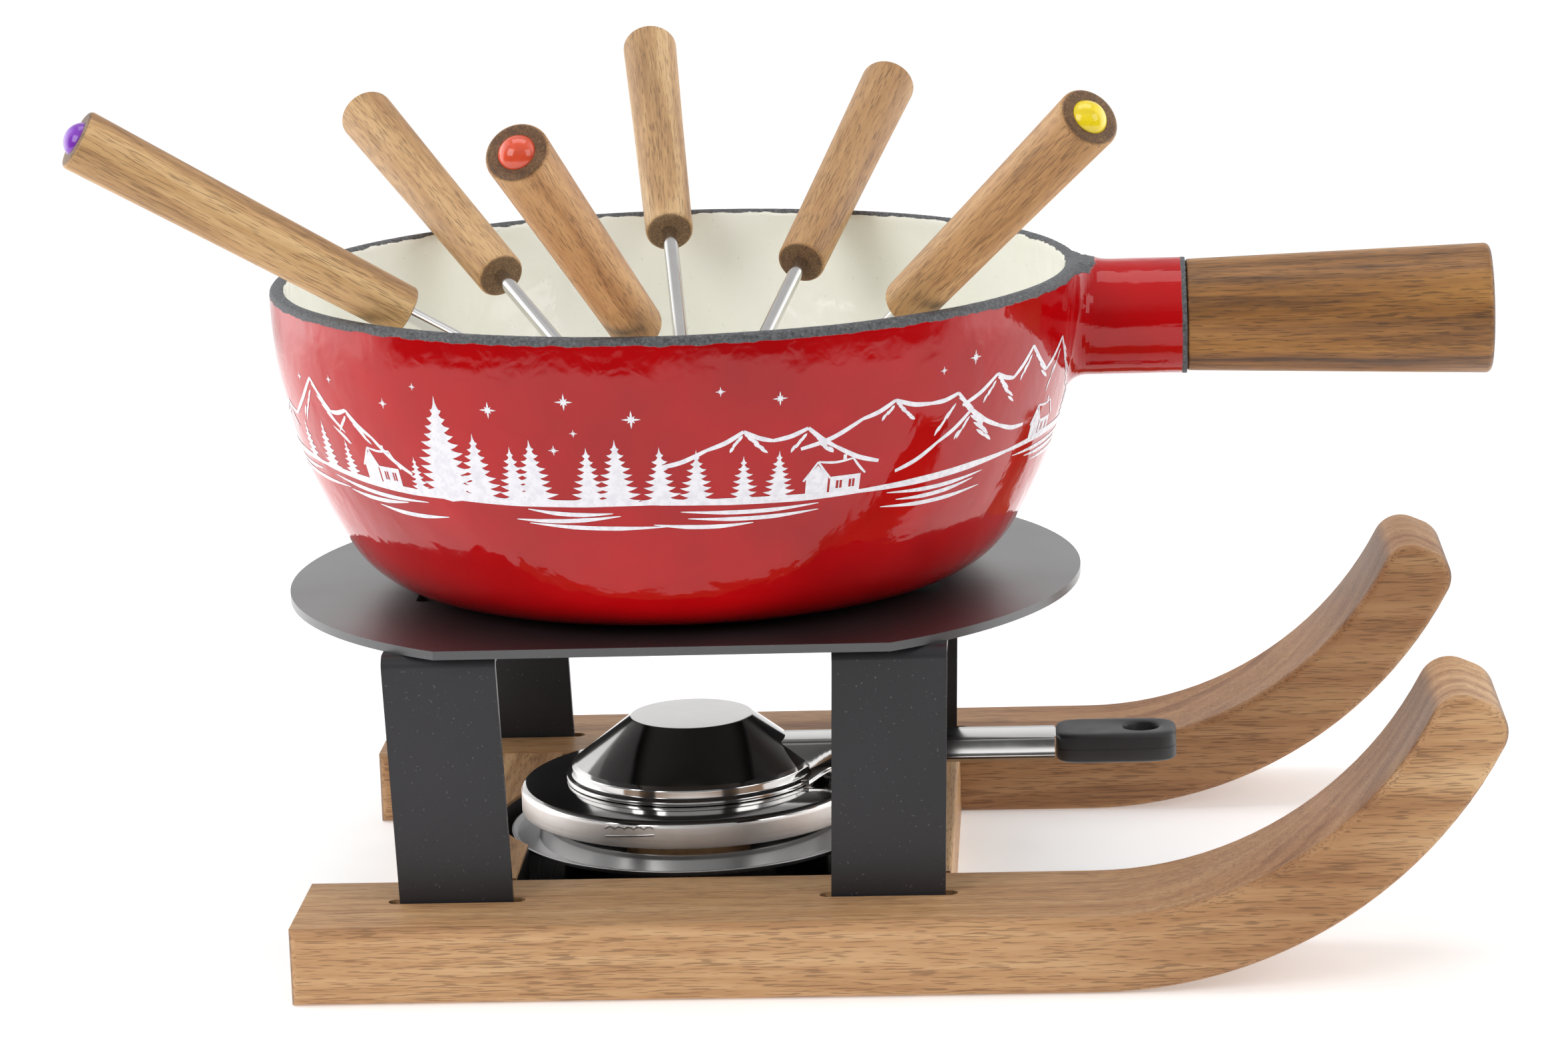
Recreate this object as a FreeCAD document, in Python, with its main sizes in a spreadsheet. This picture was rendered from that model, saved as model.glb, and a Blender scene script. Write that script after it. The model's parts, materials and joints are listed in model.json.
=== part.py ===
"""Fondue pot set: an enamelled pot with forks on a stand, with a burner, on a wooden sledge base.

Frame: origin on the table under the pot's axis, +X along the sledge towards its noses and the pot's
handle, +Y towards the back runner, +Z up. Millimetres.
"""

import FreeCAD, Part
import math
import os

import Sketcher

doc = FreeCAD.newDocument("fondue_pot_set")

SIZES = (
    # sledge
    ("runner_thick", 22.0, "plank thickness of a runner and of the board"),
    ("runner_wide", 50.0, "width of a runner"),
    ("runner_inner", 71.0, "distance of a runner's inner side from the middle"),
    ("runner_tail", 106.0, "tail end behind the pot's axis"),
    ("bend_start", 120.0, "where a runner starts to bend up"),
    ("bend_radius", 127.0, "radius of a runner's underside in the bend"),
    ("bend_angle", 67.0, "angle of the bend, degrees"),
    ("nose_round", 9.0, "rounding of a nose's two corners"),
    ("plank_round", 2.5, "rounding of the runners' long edges"),
    ("board_half", 79.0, "half length of the board along the sledge"),
    ("board_round", 1.0, "rounding of the board's edges"),
    ("pocket_radius", 59.0, "radius of the burner's recess"),
    ("pocket_floor", 4.0, "height of the recess's floor"),
    ("channel_half", 47.0, "half width of the channel that crosses the recess from runner to runner"),
    ("slot_long", 39.2, "length of a leg's slot"),
    ("slot_wide", 4.6, "width of a leg's slot"),
    ("slot_along", 61.5, "distance of a slot's middle from the pot's axis, along the sledge"),
    ("slot_floor", 6.0, "height of a slot's floor"),
    ("dowel_radius", 4.0, "radius of a dowel"),
    ("dowel_long", 36.0, "length of a dowel"),
    ("dowel_along", 63.0, "distance of a dowel from the pot's axis, along the sledge"),
    # stand
    ("plate_top", 96.5, "height of the plate's upper face"),
    ("plate_radius", 118.0, "radius of the plate"),
    ("plate_chord", 99.0, "distance of the plate's straight edges from the middle"),
    ("sheet_thick", 2.5, "thickness of the plate and of the brackets"),
    ("opening_half_long", 77.0, "half length of the plate's opening"),
    ("opening_half_wide", 36.0, "half width of the plate's opening"),
    ("opening_round", 2.0, "corner radius of the opening"),
    ("leg_middle", 93.0, "distance of a leg's middle plane from the middle"),
    ("leg_wide", 32.4, "width of a leg"),
    ("leg_inner", 47.4, "distance of a leg's inner edge from the pot's axis, at its top"),
    ("leg_lean", 2.6, "how far a leg leans inwards from its top to its foot"),
    ("leg_foot", 6.2, "height of a leg's foot"),
    ("bend_outer", 3.5, "outer radius of a bracket's bends"),
    # pot
    ("pot_foot", 96.6, "height of the foot ring's underside"),
    ("pot_base", 97.4, "height of the bowl's flat underside"),
    ("foot_inner", 64.0, "inner radius of the foot ring"),
    ("foot_outer", 71.0, "outer radius of the foot ring"),
    ("base_radius", 73.5, "radius of the flat underside"),
    ("corner_radius", 30.0, "radius of the bowl's lower corner"),
    ("shoulder_radius", 99.3, "bowl radius where the corner meets the wall"),
    ("shoulder_height", 112.0, "height where the corner meets the wall"),
    ("side_radius", 142.0, "radius of the wall's arc"),
    ("side_top", 185.0, "height where the rim starts"),
    ("rim_radius", 119.5, "outer radius at the rim"),
    ("rim_height", 188.0, "height of the rim"),
    ("rim_round", 2.0, "rounding of the rim's edges"),
    ("wall", 4.5, "wall thickness of the bowl"),
    ("stub_radius", 17.2, "radius of the handle stub"),
    ("stub_end", 150.5, "end of the stub along X"),
    ("stub_height", 170.3, "height of the handle's axis"),
    ("stub_round", 5.0, "fillet between the stub and the bowl"),
    ("grip_long", 89.0, "length of the wooden grip"),
    ("grip_start_radius", 16.4, "radius of the grip at the stub"),
    ("grip_end_radius", 19.1, "radius of the grip at its free end"),
    ("grip_round", 1.6, "rounding of the grip's ends"),
    ("bolt_radius", 3.0, "radius of the grip's bolt"),
    ("bolt_head", 5.8, "radius of the bolt's head"),
    ("bolt_in", 18.0, "length of the bolt inside the stub"),
    ("bolt_sink", 8.0, "depth of the head's counterbore"),
    # forks, measured along the fork from the prongs' points
    ("fork_long", 252.0, "length of a fork"),
    ("handle_long", 105.0, "length of a fork's handle"),
    ("handle_low", 7.4, "radius of a fork's handle at the rod"),
    ("handle_high", 8.7, "radius of a fork's handle at its free end"),
    ("handle_round", 1.4, "rounding of the handle's ends"),
    ("rod_radius", 2.3, "radius of a fork's rod"),
    ("tang_radius", 1.9, "radius of the tang inside the handle"),
    ("tang_long", 44.0, "length of the tang"),
    ("dot_radius", 5.0, "radius of the coloured dot"),
    ("dot_sink", 2.0, "depth of the dot's seat"),
    ("dot_rise", 3.2, "height of the dot's dome"),
    ("prong_thick", 1.6, "thickness of the flat prongs"),
    # burner
    ("cup_foot", 4.1, "height of the cup's underside"),
    ("cup_radius", 40.0, "radius of the cup's lower wall"),
    ("neck_radius", 47.0, "radius of the cup's neck"),
    ("dish_level", 15.0, "height of the drip dish's underside"),
    ("dish_radius", 56.0, "radius of the drip dish"),
    ("dish_lip", 18.7, "height of the drip dish's lip"),
    ("tin", 0.8, "thickness of the burner's sheet metal"),
    ("cup_top", 31.6, "height of the cup's upper edge"),
    ("band_radius", 52.1, "radius of the lid's band"),
    ("band_foot", 24.4, "height of the band's lower edge"),
    ("lid_opening", 26.0, "radius of the lid's opening"),
    ("air_ring", 31.0, "radius of the ring of air holes"),
    ("air_hole", 2.2, "radius of an air hole"),
    ("air_count", 8, "number of air holes"),
    ("snuffer_foot", 33.4, "height of the snuffer's lower edge"),
    ("snuffer_top", 52.1, "height of the snuffer's flat top"),
    ("snuffer_radius", 38.3, "radius of the snuffer's lower edge"),
    ("snuffer_disc", 18.3, "radius of the snuffer's flat top"),
    ("snuffer_step", 36.6, "radius of the snuffer above its lower step"),
    ("cone_foot", 38.8, "height of the foot of the snuffer's cone"),
    ("cone_radius", 35.4, "radius of the foot of the snuffer's cone"),
    ("arm_top", 44.5, "height of the arm's upper face"),
    ("arm_deep", 6.9, "depth of the arm's channel"),
    ("arm_wide", 16.0, "width of the arm"),
    ("arm_end", 109.0, "end of the arm along X"),
    ("tongue_long", 15.0, "length of the tongue inside the grip"),
    ("tongue_wide", 10.0, "width of the tongue"),
    ("knob_long", 36.0, "length of the snuffer's grip"),
    ("knob_wide", 22.0, "width of the snuffer's grip"),
    ("knob_foot", 36.8, "height of the grip's underside"),
    ("knob_top", 45.7, "height of the grip's upper face"),
    ("knob_round", 2.5, "rounding of the grip's edges"),
    ("knob_hole", 5.2, "radius of the hanging hole"),
    ("knob_hole_at", 25.5, "distance of the hanging hole from the grip's start"),
)

# Where each fork's points are, and how it leans: X, Y, Z, azimuth, tilt from upright. Two stand on the pot's
# floor, and the others lie over each other's rods.
FORKS = (
    (49.6, -37.9, 111.9, 197.2, 58.4),
    (14.4, -68.5, 122.4, 121.7, 67.3),
    (28.0, 15.1, 102.9, 255.1, 54.8),
    (8.0, -38.5, 117.3, 97.2, 62.7),
    (-2.1, -61.8, 116.2, 74.4, 65.2),
    (-1.6, 24.5, 102.9, 307.0, 54.9),
)

sheet = doc.addObject("Spreadsheet::Sheet", "Size")
for row, (alias, value, words) in enumerate(SIZES, start=1):
    sheet.set(f"A{row}", words)
    sheet.set(f"B{row}", str(value))
    sheet.setAlias(f"B{row}", alias)
doc.recompute()


# ---------------------------------------------------------------- helpers


def number(expression):
    """The value of an expression in the sheet's sizes, such as "Size.wall / 2"."""
    return float(sheet.evalExpression(str(expression)))


def bind(thing, prop, expression):
    """Set a property from an expression in the sheet's sizes."""
    thing.setExpression(prop, str(expression))


def new_body(name):
    body = doc.addObject("PartDesign::Body", name)
    body.Label = name
    return body


def new_sketch(body, plane, offset=None):
    """A sketch on one of the body's own origin planes, moved along its normal by offset."""
    sketch = body.newObject("Sketcher::SketchObject", f"{body.Name}_sketch")
    origin_plane = next(part for part in body.Origin.OriginFeatures if part.Role == plane)
    sketch.AttachmentSupport = (origin_plane, [""])
    sketch.MapMode = "FlatFace"
    if offset is not None:
        bind(sketch, "AttachmentOffset.Base.z", offset)
    return sketch


def pin_point(sketch, curve, end, across, up):
    """Hold a sketch point at its place, each coordinate bound to its expression."""
    for kind, axis, expression in (("DistanceX", -2, across), ("DistanceY", -1, up)):
        value = number(expression)
        if abs(value) < 1e-9:
            sketch.addConstraint(Sketcher.Constraint("PointOnObject", curve, end, axis))
            continue
        index = sketch.addConstraint(Sketcher.Constraint(kind, -1, 1, curve, end, value))
        bind(sketch, f"Constraints[{index}]", expression)


def arc_middle(start, stop, radius, turn):
    """The middle of an arc from start to stop that turns left (1) or right (-1)."""
    chord = stop - start
    sag = radius - math.sqrt(max(radius**2 - chord.Length**2 / 4, 0.0))
    right = FreeCAD.Vector(chord.y, -chord.x, 0).normalize()
    return (start + stop) * 0.5 + right * (turn * sag)


def draw(sketch, path):
    """Draw a closed outline. Each corner is (across, up), or (across, up, radius, turn) before an arc."""
    spots = [FreeCAD.Vector(number(corner[0]), number(corner[1]), 0) for corner in path]
    ends = []
    for index, corner in enumerate(path):
        start = spots[index]
        stop = spots[(index + 1) % len(path)]
        if len(corner) == 2:
            curve = sketch.addGeometry(Part.LineSegment(start, stop))
        else:
            middle = arc_middle(start, stop, number(corner[2]), corner[3])
            curve = sketch.addGeometry(Part.Arc(start, middle, stop))
        first = 1 if sketch.getPoint(curve, 1).distanceToPoint(start) < 1e-6 else 2
        ends.append((curve, first, 3 - first))
    for index, corner in enumerate(path):
        curve, first, last = ends[index]
        following = ends[(index + 1) % len(path)]
        sketch.addConstraint(Sketcher.Constraint("Coincident", curve, last, following[0], following[1]))
        pin_point(sketch, curve, first, corner[0], corner[1])
        if len(corner) == 4:
            radius = sketch.addConstraint(Sketcher.Constraint("Radius", curve, number(corner[2])))
            bind(sketch, f"Constraints[{radius}]", corner[2])


def draw_circle(sketch, across, up, radius):
    middle = FreeCAD.Vector(number(across), number(up), 0)
    curve = sketch.addGeometry(Part.Circle(middle, FreeCAD.Vector(0, 0, 1), number(radius)))
    pin_point(sketch, curve, 3, across, up)
    index = sketch.addConstraint(Sketcher.Constraint("Radius", curve, number(radius)))
    bind(sketch, f"Constraints[{index}]", radius)


def rectangle(low_x, low_y, high_x, high_y):
    return [(low_x, low_y), (high_x, low_y), (high_x, high_y), (low_x, high_y)]


def slot_path(middle_x, middle_y, long, wide):
    """A round-ended slot, each end in two quarter turns."""
    half = f"({long}) / 2"
    radius = f"({wide}) / 2"
    straight = f"({half} - {radius})"
    return [
        (f"{middle_x} - {straight}", f"{middle_y} - {radius}"),
        (f"{middle_x} + {straight}", f"{middle_y} - {radius}", radius, 1),
        (f"{middle_x} + {half}", f"{middle_y}", radius, 1),
        (f"{middle_x} + {straight}", f"{middle_y} + {radius}"),
        (f"{middle_x} - {straight}", f"{middle_y} + {radius}", radius, 1),
        (f"{middle_x} - {half}", f"{middle_y}", radius, 1),
    ]


def feature(body, kind, sketch, **sizes):
    """A PartDesign feature from a sketch; each size is an expression."""
    made = body.newObject(f"PartDesign::{kind}", f"{body.Name}_{kind.lower()}")
    made.Profile = sketch
    for prop, expression in sizes.items():
        bind(made, prop, expression)
    return made


def pad(body, sketch, length, both_sides=False, backwards=False):
    made = feature(body, "Pad", sketch, Length=length)
    made.Midplane = both_sides
    made.Reversed = backwards
    doc.recompute()
    return made


def pocket(body, sketch, length, backwards=False):
    before = body.Shape.Volume
    made = feature(body, "Pocket", sketch, Length=length)
    made.Reversed = backwards
    doc.recompute()
    if body.Shape.Volume >= before:
        raise RuntimeError(f"{body.Label}: a pocket cuts nothing")
    return made


def revolve(body, sketch, kind="Revolution", axis="V_Axis"):
    made = feature(body, kind, sketch)
    made.ReferenceAxis = (sketch, [axis])
    made.Angle = 360
    doc.recompute()
    return made


def fillet(body, radius, wanted):
    """Round the edges of the body's tip that wanted(edge) picks."""
    tip = body.Tip
    names = [f"Edge{n}" for n, edge in enumerate(tip.Shape.Edges, start=1) if wanted(edge)]
    made = body.newObject("PartDesign::Fillet", f"{body.Name}_fillet")
    made.Base = (tip, names)
    bind(made, "Radius", radius)
    doc.recompute()
    return made


def middle_of(edge):
    return edge.valueAt((edge.FirstParameter + edge.LastParameter) / 2)


def turned(name, path, plane="XZ_Plane", axis="V_Axis"):
    """A body turned on a lathe from one closed outline."""
    body = new_body(name)
    sketch = new_sketch(body, plane)
    draw(sketch, path)
    revolve(body, sketch, axis=axis)
    return body


# ---------------------------------------------------------------- sledge


def dowel_hole(body, along, plane, offset, depth, backwards):
    sketch = new_sketch(body, plane, offset)
    draw_circle(sketch, along, "Size.runner_thick / 2", "Size.dowel_radius")
    pocket(body, sketch, depth, backwards=backwards)


def make_runner(name, side):
    """A runner with its noses up; side is -1 in front and 1 at the back. Its middle plane is y = 0 here."""
    body = new_body(name)
    bend = "Size.bend_angle * 1deg"
    inner = "(Size.bend_radius - Size.runner_thick)"
    sketch = new_sketch(body, "XZ_Plane")
    draw(sketch, [
        ("-Size.runner_tail", "0"),
        ("Size.bend_start", "0", "Size.bend_radius", 1),
        (f"Size.bend_start + Size.bend_radius * sin({bend})", f"Size.bend_radius * (1 - cos({bend}))"),
        (f"Size.bend_start + {inner} * sin({bend})", f"Size.bend_radius - {inner} * cos({bend})", inner, -1),
        ("Size.bend_start", "Size.runner_thick"),
        ("-Size.runner_tail", "Size.runner_thick"),
    ])
    pad(body, sketch, "Size.runner_wide", both_sides=True)
    nose = number(f"Size.bend_start + {inner} * sin({bend})") - 1
    half = number("Size.runner_wide") / 2
    fillet(body, "Size.nose_round", lambda e: abs(middle_of(e).y) < 1 and middle_of(e).x > nose)
    fillet(body, "Size.plank_round", lambda e: abs(abs(middle_of(e).y) - half) < 0.01)
    shift = f"{-side} * (Size.runner_inner + Size.runner_wide / 2 - Size.leg_middle)"
    for end in (-1, 1):
        slot = new_sketch(body, "XY_Plane", "Size.runner_thick")
        draw(slot, slot_path(f"{end} * Size.slot_along", shift, "Size.slot_long", "Size.slot_wide"))
        pocket(body, slot, "Size.runner_thick - Size.slot_floor")
        inner_side = f"{side} * Size.runner_wide / 2"
        dowel_hole(body, f"{end} * Size.dowel_along", "XZ_Plane", inner_side, "Size.dowel_long / 2", side < 0)
    middle = number("Size.runner_inner + Size.runner_wide / 2")
    body.Placement.Base = FreeCAD.Vector(0, side * middle, 0)
    return body


def make_board():
    body = new_body("base_board")
    half = "Size.board_half"
    sketch = new_sketch(body, "XY_Plane")
    draw(sketch, rectangle(f"-{half}", "-Size.runner_inner", half, "Size.runner_inner"))
    pad(body, sketch, "Size.runner_thick")
    end = number(half)
    fillet(body, "Size.board_round", lambda e: abs(abs(middle_of(e).x) - end) < 0.01)
    recess = new_sketch(body, "XY_Plane", "Size.runner_thick")
    draw_circle(recess, "0", "0", "Size.pocket_radius")
    pocket(body, recess, "Size.runner_thick - Size.pocket_floor")
    channel = new_sketch(body, "XY_Plane", "Size.runner_thick")
    draw(channel, rectangle("-Size.channel_half", "-Size.runner_inner", "Size.channel_half", "Size.runner_inner"))
    pocket(body, channel, "Size.runner_thick - Size.pocket_floor")
    for side in (-1, 1):
        for end in (-1, 1):
            face = f"{-side} * Size.runner_inner"
            along = f"{end} * Size.dowel_along"
            dowel_hole(body, along, "XZ_Plane", face, "Size.dowel_long / 2", side > 0)
    return body


def make_dowel(name, side, end):
    dowel = doc.addObject("Part::Cylinder", name)
    dowel.Label = name
    bind(dowel, "Radius", "Size.dowel_radius")
    bind(dowel, "Height", "Size.dowel_long")
    start = side * number("Size.runner_inner") - number("Size.dowel_long") / 2
    place = FreeCAD.Vector(end * number("Size.dowel_along"), start, number("Size.runner_thick") / 2)
    dowel.Placement = FreeCAD.Placement(place, FreeCAD.Rotation(FreeCAD.Vector(1, 0, 0), -90))
    return dowel


# ---------------------------------------------------------------- stand


def make_plate():
    """A disc with its front and back cut straight and an opening under the pot."""
    body = new_body("top_plate")
    edge = "sqrt(Size.plate_radius ^ 2 - Size.plate_chord ^ 2)"
    arc = ("Size.plate_radius", 1)
    sketch = new_sketch(body, "XY_Plane", "Size.plate_top - Size.sheet_thick")
    draw(sketch, [
        (f"-{edge}", "-Size.plate_chord"),
        (edge, "-Size.plate_chord", *arc),
        ("Size.plate_radius", "0", *arc),
        (edge, "Size.plate_chord"),
        (f"-{edge}", "Size.plate_chord", *arc),
        ("-Size.plate_radius", "0", *arc),
    ])
    pad(body, sketch, "Size.sheet_thick")
    opening = new_sketch(body, "XY_Plane", "Size.plate_top")
    long = "Size.opening_half_long"
    wide = "Size.opening_half_wide"
    draw(opening, rectangle(f"-{long}", f"-{wide}", long, wide))
    pocket(body, opening, "Size.sheet_thick")
    corner_x = number(long)
    corner_y = number(wide)
    fillet(body, "Size.opening_round", lambda e: abs(abs(middle_of(e).x) - corner_x) < 0.01
           and abs(abs(middle_of(e).y) - corner_y) < 0.01)
    return body


def make_bracket(name, turn):
    """A strip bent into front leg, top and back leg; the left one is the right one turned half round."""
    body = new_body(name)
    under = "(Size.plate_top - Size.sheet_thick)"
    outer = "(Size.leg_inner + Size.leg_wide)"
    reach = "(Size.leg_middle + Size.sheet_thick / 2)"
    straight = f"{under} - Size.bend_outer - 0.5"
    for side in (-1, 1):
        leg = new_sketch(body, "XZ_Plane", f"{-side} * {reach}")
        draw(leg, [
            ("Size.leg_inner - Size.leg_lean", "Size.leg_foot"),
            (f"{outer} - Size.leg_lean", "Size.leg_foot"),
            (outer, straight),
            (outer, under),
            ("Size.leg_inner", under),
            ("Size.leg_inner", straight),
        ])
        pad(body, leg, "Size.sheet_thick", backwards=side < 0)
        if side < 0:
            top = new_sketch(body, "XY_Plane", under)
            draw(top, rectangle("Size.leg_inner", f"-{reach}", outer, reach))
            pad(body, top, "Size.sheet_thick", backwards=True)
    top_height = number(under)
    far = number(reach)
    fillet(body, "Size.bend_outer", lambda e: abs(middle_of(e).z - top_height) < 0.01
           and abs(abs(middle_of(e).y) - far) < 0.01)
    body.Placement.Rotation = FreeCAD.Rotation(FreeCAD.Vector(0, 0, 1), turn)
    return body


# ---------------------------------------------------------------- pot


def bowl_side(inset):
    """Bowl wall from the flat base up to the rim, at a depth of inset inside the outer face."""
    normal_out = "((Size.shoulder_radius - Size.base_radius) / Size.corner_radius)"
    normal_down = f"sqrt(1 - {normal_out} ^ 2)"
    return [
        ("Size.base_radius", f"Size.pot_base + {inset}", f"Size.corner_radius - {inset}", 1),
        (f"Size.shoulder_radius - {inset} * {normal_out}", f"Size.shoulder_height + {inset} * {normal_down}",
         f"Size.side_radius - {inset}", 1),
        (f"Size.rim_radius - {inset}", "Size.side_top"),
    ]


def make_pot():
    body = new_body("pot_body")
    outside = new_sketch(body, "XZ_Plane")
    draw(outside, [("0", "Size.pot_base")] + bowl_side("0") + [
        ("Size.rim_radius", "Size.rim_height - Size.rim_round", "Size.rim_round", 1),
        ("Size.rim_radius - Size.rim_round", "Size.rim_height"),
        ("0", "Size.rim_height"),
    ])
    revolve(body, outside)
    stub = new_sketch(body, "YZ_Plane")
    draw_circle(stub, "0", "Size.stub_height", "Size.stub_radius")
    pad(body, stub, "Size.stub_end")
    end = number("Size.stub_end")
    fillet(body, "Size.stub_round", lambda e: e.BoundBox.XMin > 100 and e.BoundBox.XMax < end - 1)
    inside = new_sketch(body, "XZ_Plane")
    rim_inner = "Size.rim_radius - Size.wall"
    draw(inside, [("0", "Size.pot_base + Size.wall")] + bowl_side("Size.wall") + [
        (rim_inner, "Size.rim_height - Size.rim_round", "Size.rim_round", -1),
        (f"{rim_inner} + Size.rim_round", "Size.rim_height"),
        ("0", "Size.rim_height"),
    ])
    revolve(body, inside, kind="Groove")
    foot = new_sketch(body, "XZ_Plane")
    draw(foot, rectangle("Size.foot_inner", "Size.pot_foot", "Size.foot_outer", "Size.pot_base + 1"))
    revolve(body, foot)
    bore = new_sketch(body, "YZ_Plane", "Size.stub_end")
    draw_circle(bore, "0", "Size.stub_height", "Size.bolt_radius + 0.1")
    pocket(body, bore, "Size.bolt_in + 1")
    return body


def make_grip():
    """The wooden grip, turned about its own axis, bored for the bolt and its head."""
    bore = "Size.bolt_radius + 0.1"
    head = "Size.bolt_head + 0.5"
    body = turned("pot_grip", [
        ("0", bore),
        ("Size.grip_long - Size.bolt_sink", bore),
        ("Size.grip_long - Size.bolt_sink", head),
        ("Size.grip_long", head),
        ("Size.grip_long", "Size.grip_end_radius - Size.grip_round", "Size.grip_round", 1),
        ("Size.grip_long - Size.grip_round", "Size.grip_end_radius"),
        ("Size.grip_round / 2", "Size.grip_start_radius", "Size.grip_round / 2", 1),
        ("0", "Size.grip_start_radius - Size.grip_round / 2"),
    ], plane="XY_Plane", axis="H_Axis")
    body.Placement.Base = FreeCAD.Vector(number("Size.stub_end"), 0, number("Size.stub_height"))
    return body


def make_bolt():
    seat = "Size.grip_long - Size.bolt_sink"
    body = turned("grip_bolt", [
        ("-Size.bolt_in", "0"),
        (f"{seat} + Size.bolt_head * 0.8", "0"),
        (f"{seat} + Size.bolt_head * 0.8", "Size.bolt_head"),
        (seat, "Size.bolt_head"),
        (seat, "Size.bolt_radius"),
        ("-Size.bolt_in", "Size.bolt_radius"),
    ], plane="XY_Plane", axis="H_Axis")
    body.Placement.Base = FreeCAD.Vector(number("Size.stub_end"), 0, number("Size.stub_height"))
    return body


# ---------------------------------------------------------------- forks

PRONG_TIP = 3.2
PRONG_BARB = 4.6
PRONG_OUTER = 4.0
PRONG_INNER = 2.3
BARB_UP = 6.0
CROTCH_UP = 22.0
HEAD_UP = 36.0


def make_rod(name):
    """Rod and two flat barbed prongs; the fork's points are at z = 0 and it runs up along Z."""
    shoulder = "Size.fork_long - Size.handle_long - 0.1"
    body = turned(name, [
        ("0", HEAD_UP - 3),
        ("Size.prong_thick * 0.75", HEAD_UP - 3),
        ("Size.rod_radius", HEAD_UP + 2),
        ("Size.rod_radius", shoulder),
        ("Size.tang_radius", shoulder),
        ("Size.tang_radius", f"{shoulder} + Size.tang_long"),
        ("0", f"{shoulder} + Size.tang_long"),
    ])
    prongs = new_sketch(body, "YZ_Plane")
    right = [
        (PRONG_INNER, BARB_UP + 2),
        (PRONG_TIP, 0),
        (PRONG_BARB, BARB_UP),
        (PRONG_OUTER, BARB_UP + 1),
        (PRONG_OUTER, CROTCH_UP),
        ("Size.rod_radius", HEAD_UP),
    ]
    left = [(f"-{across}", up) for across, up in reversed(right)]
    crotch = [
        (f"-{PRONG_INNER}", CROTCH_UP, PRONG_INNER, -1),
        ("0", CROTCH_UP + PRONG_INNER, PRONG_INNER, -1),
        (PRONG_INNER, CROTCH_UP),
    ]
    draw(prongs, right + left + crotch)
    pad(body, prongs, "Size.prong_thick", both_sides=True)
    return body


def make_fork_handle(name):
    low = "Size.fork_long - Size.handle_long"
    bore_end = f"{low} + Size.tang_long + 0.3"
    bore = "Size.tang_radius + 0.1"
    seat = "Size.fork_long - Size.dot_sink"
    return turned(name, [
        ("0", bore_end),
        (bore, bore_end),
        (bore, low),
        ("Size.handle_low - Size.handle_round", low, "Size.handle_round", 1),
        ("Size.handle_low", f"{low} + Size.handle_round"),
        ("Size.handle_high", "Size.fork_long - Size.handle_round", "Size.handle_round", 1),
        ("Size.handle_high - Size.handle_round", "Size.fork_long"),
        ("Size.dot_radius + 0.05", "Size.fork_long"),
        ("Size.dot_radius + 0.05", seat),
        ("0", seat),
    ])


def make_dot(name):
    seat = "Size.fork_long - Size.dot_sink"
    dome = "(Size.dot_radius ^ 2 + Size.dot_rise ^ 2) / (2 * Size.dot_rise)"
    return turned(name, [
        ("0", seat),
        ("Size.dot_radius", seat),
        ("Size.dot_radius", "Size.fork_long", dome, 1),
        ("0", "Size.fork_long + Size.dot_rise"),
    ])


def make_fork(index, stance):
    """Rod, handle and dot of one fork, leaning over the rim; its prongs lie flat across its lean."""
    tip_x, tip_y, tip_z, azimuth, tilt = stance
    lean = FreeCAD.Rotation(FreeCAD.Vector(0, 0, 1), azimuth) * FreeCAD.Rotation(FreeCAD.Vector(0, 1, 0), tilt)
    place = FreeCAD.Placement(FreeCAD.Vector(tip_x, tip_y, tip_z), lean)
    makers = (("rod", make_rod), ("handle", make_fork_handle), ("dot", make_dot))
    pieces = [maker(f"fork_{index}_{part}") for part, maker in makers]
    for piece in pieces:
        piece.Placement = place
    return pieces


# ---------------------------------------------------------------- burner


def make_dish():
    """Drip dish: a ring of sheet with a raised lip, round the cup."""
    inner = "Size.cup_radius + 0.2"
    level = "Size.dish_level"
    return turned("burner_dish", [
        (inner, level),
        ("Size.neck_radius + 0.2", level),
        ("Size.dish_radius - 1.2", f"{level} + 2.1"),
        ("Size.dish_radius", "Size.dish_lip - Size.tin"),
        ("Size.dish_radius", "Size.dish_lip"),
        ("Size.dish_radius - 1.4", f"{level} + 2.1 + Size.tin"),
        ("Size.neck_radius", f"{level} + Size.tin"),
        (inner, f"{level} + Size.tin"),
    ])


def make_cup():
    """Fuel cup with a wider neck above the drip dish."""
    ledge = "Size.dish_level + Size.tin"
    return turned("burner_cup", [
        ("0", "Size.cup_foot"),
        ("Size.cup_radius", "Size.cup_foot"),
        ("Size.cup_radius", ledge),
        ("Size.neck_radius", ledge),
        ("Size.neck_radius", "Size.cup_top"),
        ("Size.neck_radius - Size.tin", "Size.cup_top"),
        ("Size.neck_radius - Size.tin", f"{ledge} + Size.tin"),
        ("Size.cup_radius - Size.tin", f"{ledge} + Size.tin"),
        ("Size.cup_radius - Size.tin", "Size.cup_foot + Size.tin"),
        ("0", "Size.cup_foot + Size.tin"),
    ])


def make_fleece():
    return turned("burner_fleece", rectangle(
        "0", "Size.cup_foot + Size.tin + 0.1", "Size.cup_radius - Size.tin - 0.3", "Size.dish_level + 7"))


def air_holes(body, level, depth):
    """A ring of air holes, the first one drilled and the rest patterned."""
    sketch = new_sketch(body, "XY_Plane", level)
    draw_circle(sketch, "Size.air_ring", "0", "Size.air_hole")
    hole = pocket(body, sketch, depth)
    ring = body.newObject("PartDesign::PolarPattern", f"{body.Name}_ring")
    ring.Originals = [hole]
    z_axis = next(part for part in body.Origin.OriginFeatures if part.Role == "Z_Axis")
    ring.Axis = (z_axis, [""])
    ring.Angle = 360
    bind(ring, "Occurrences", "Size.air_count")
    body.Tip = ring
    doc.recompute()


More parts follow.
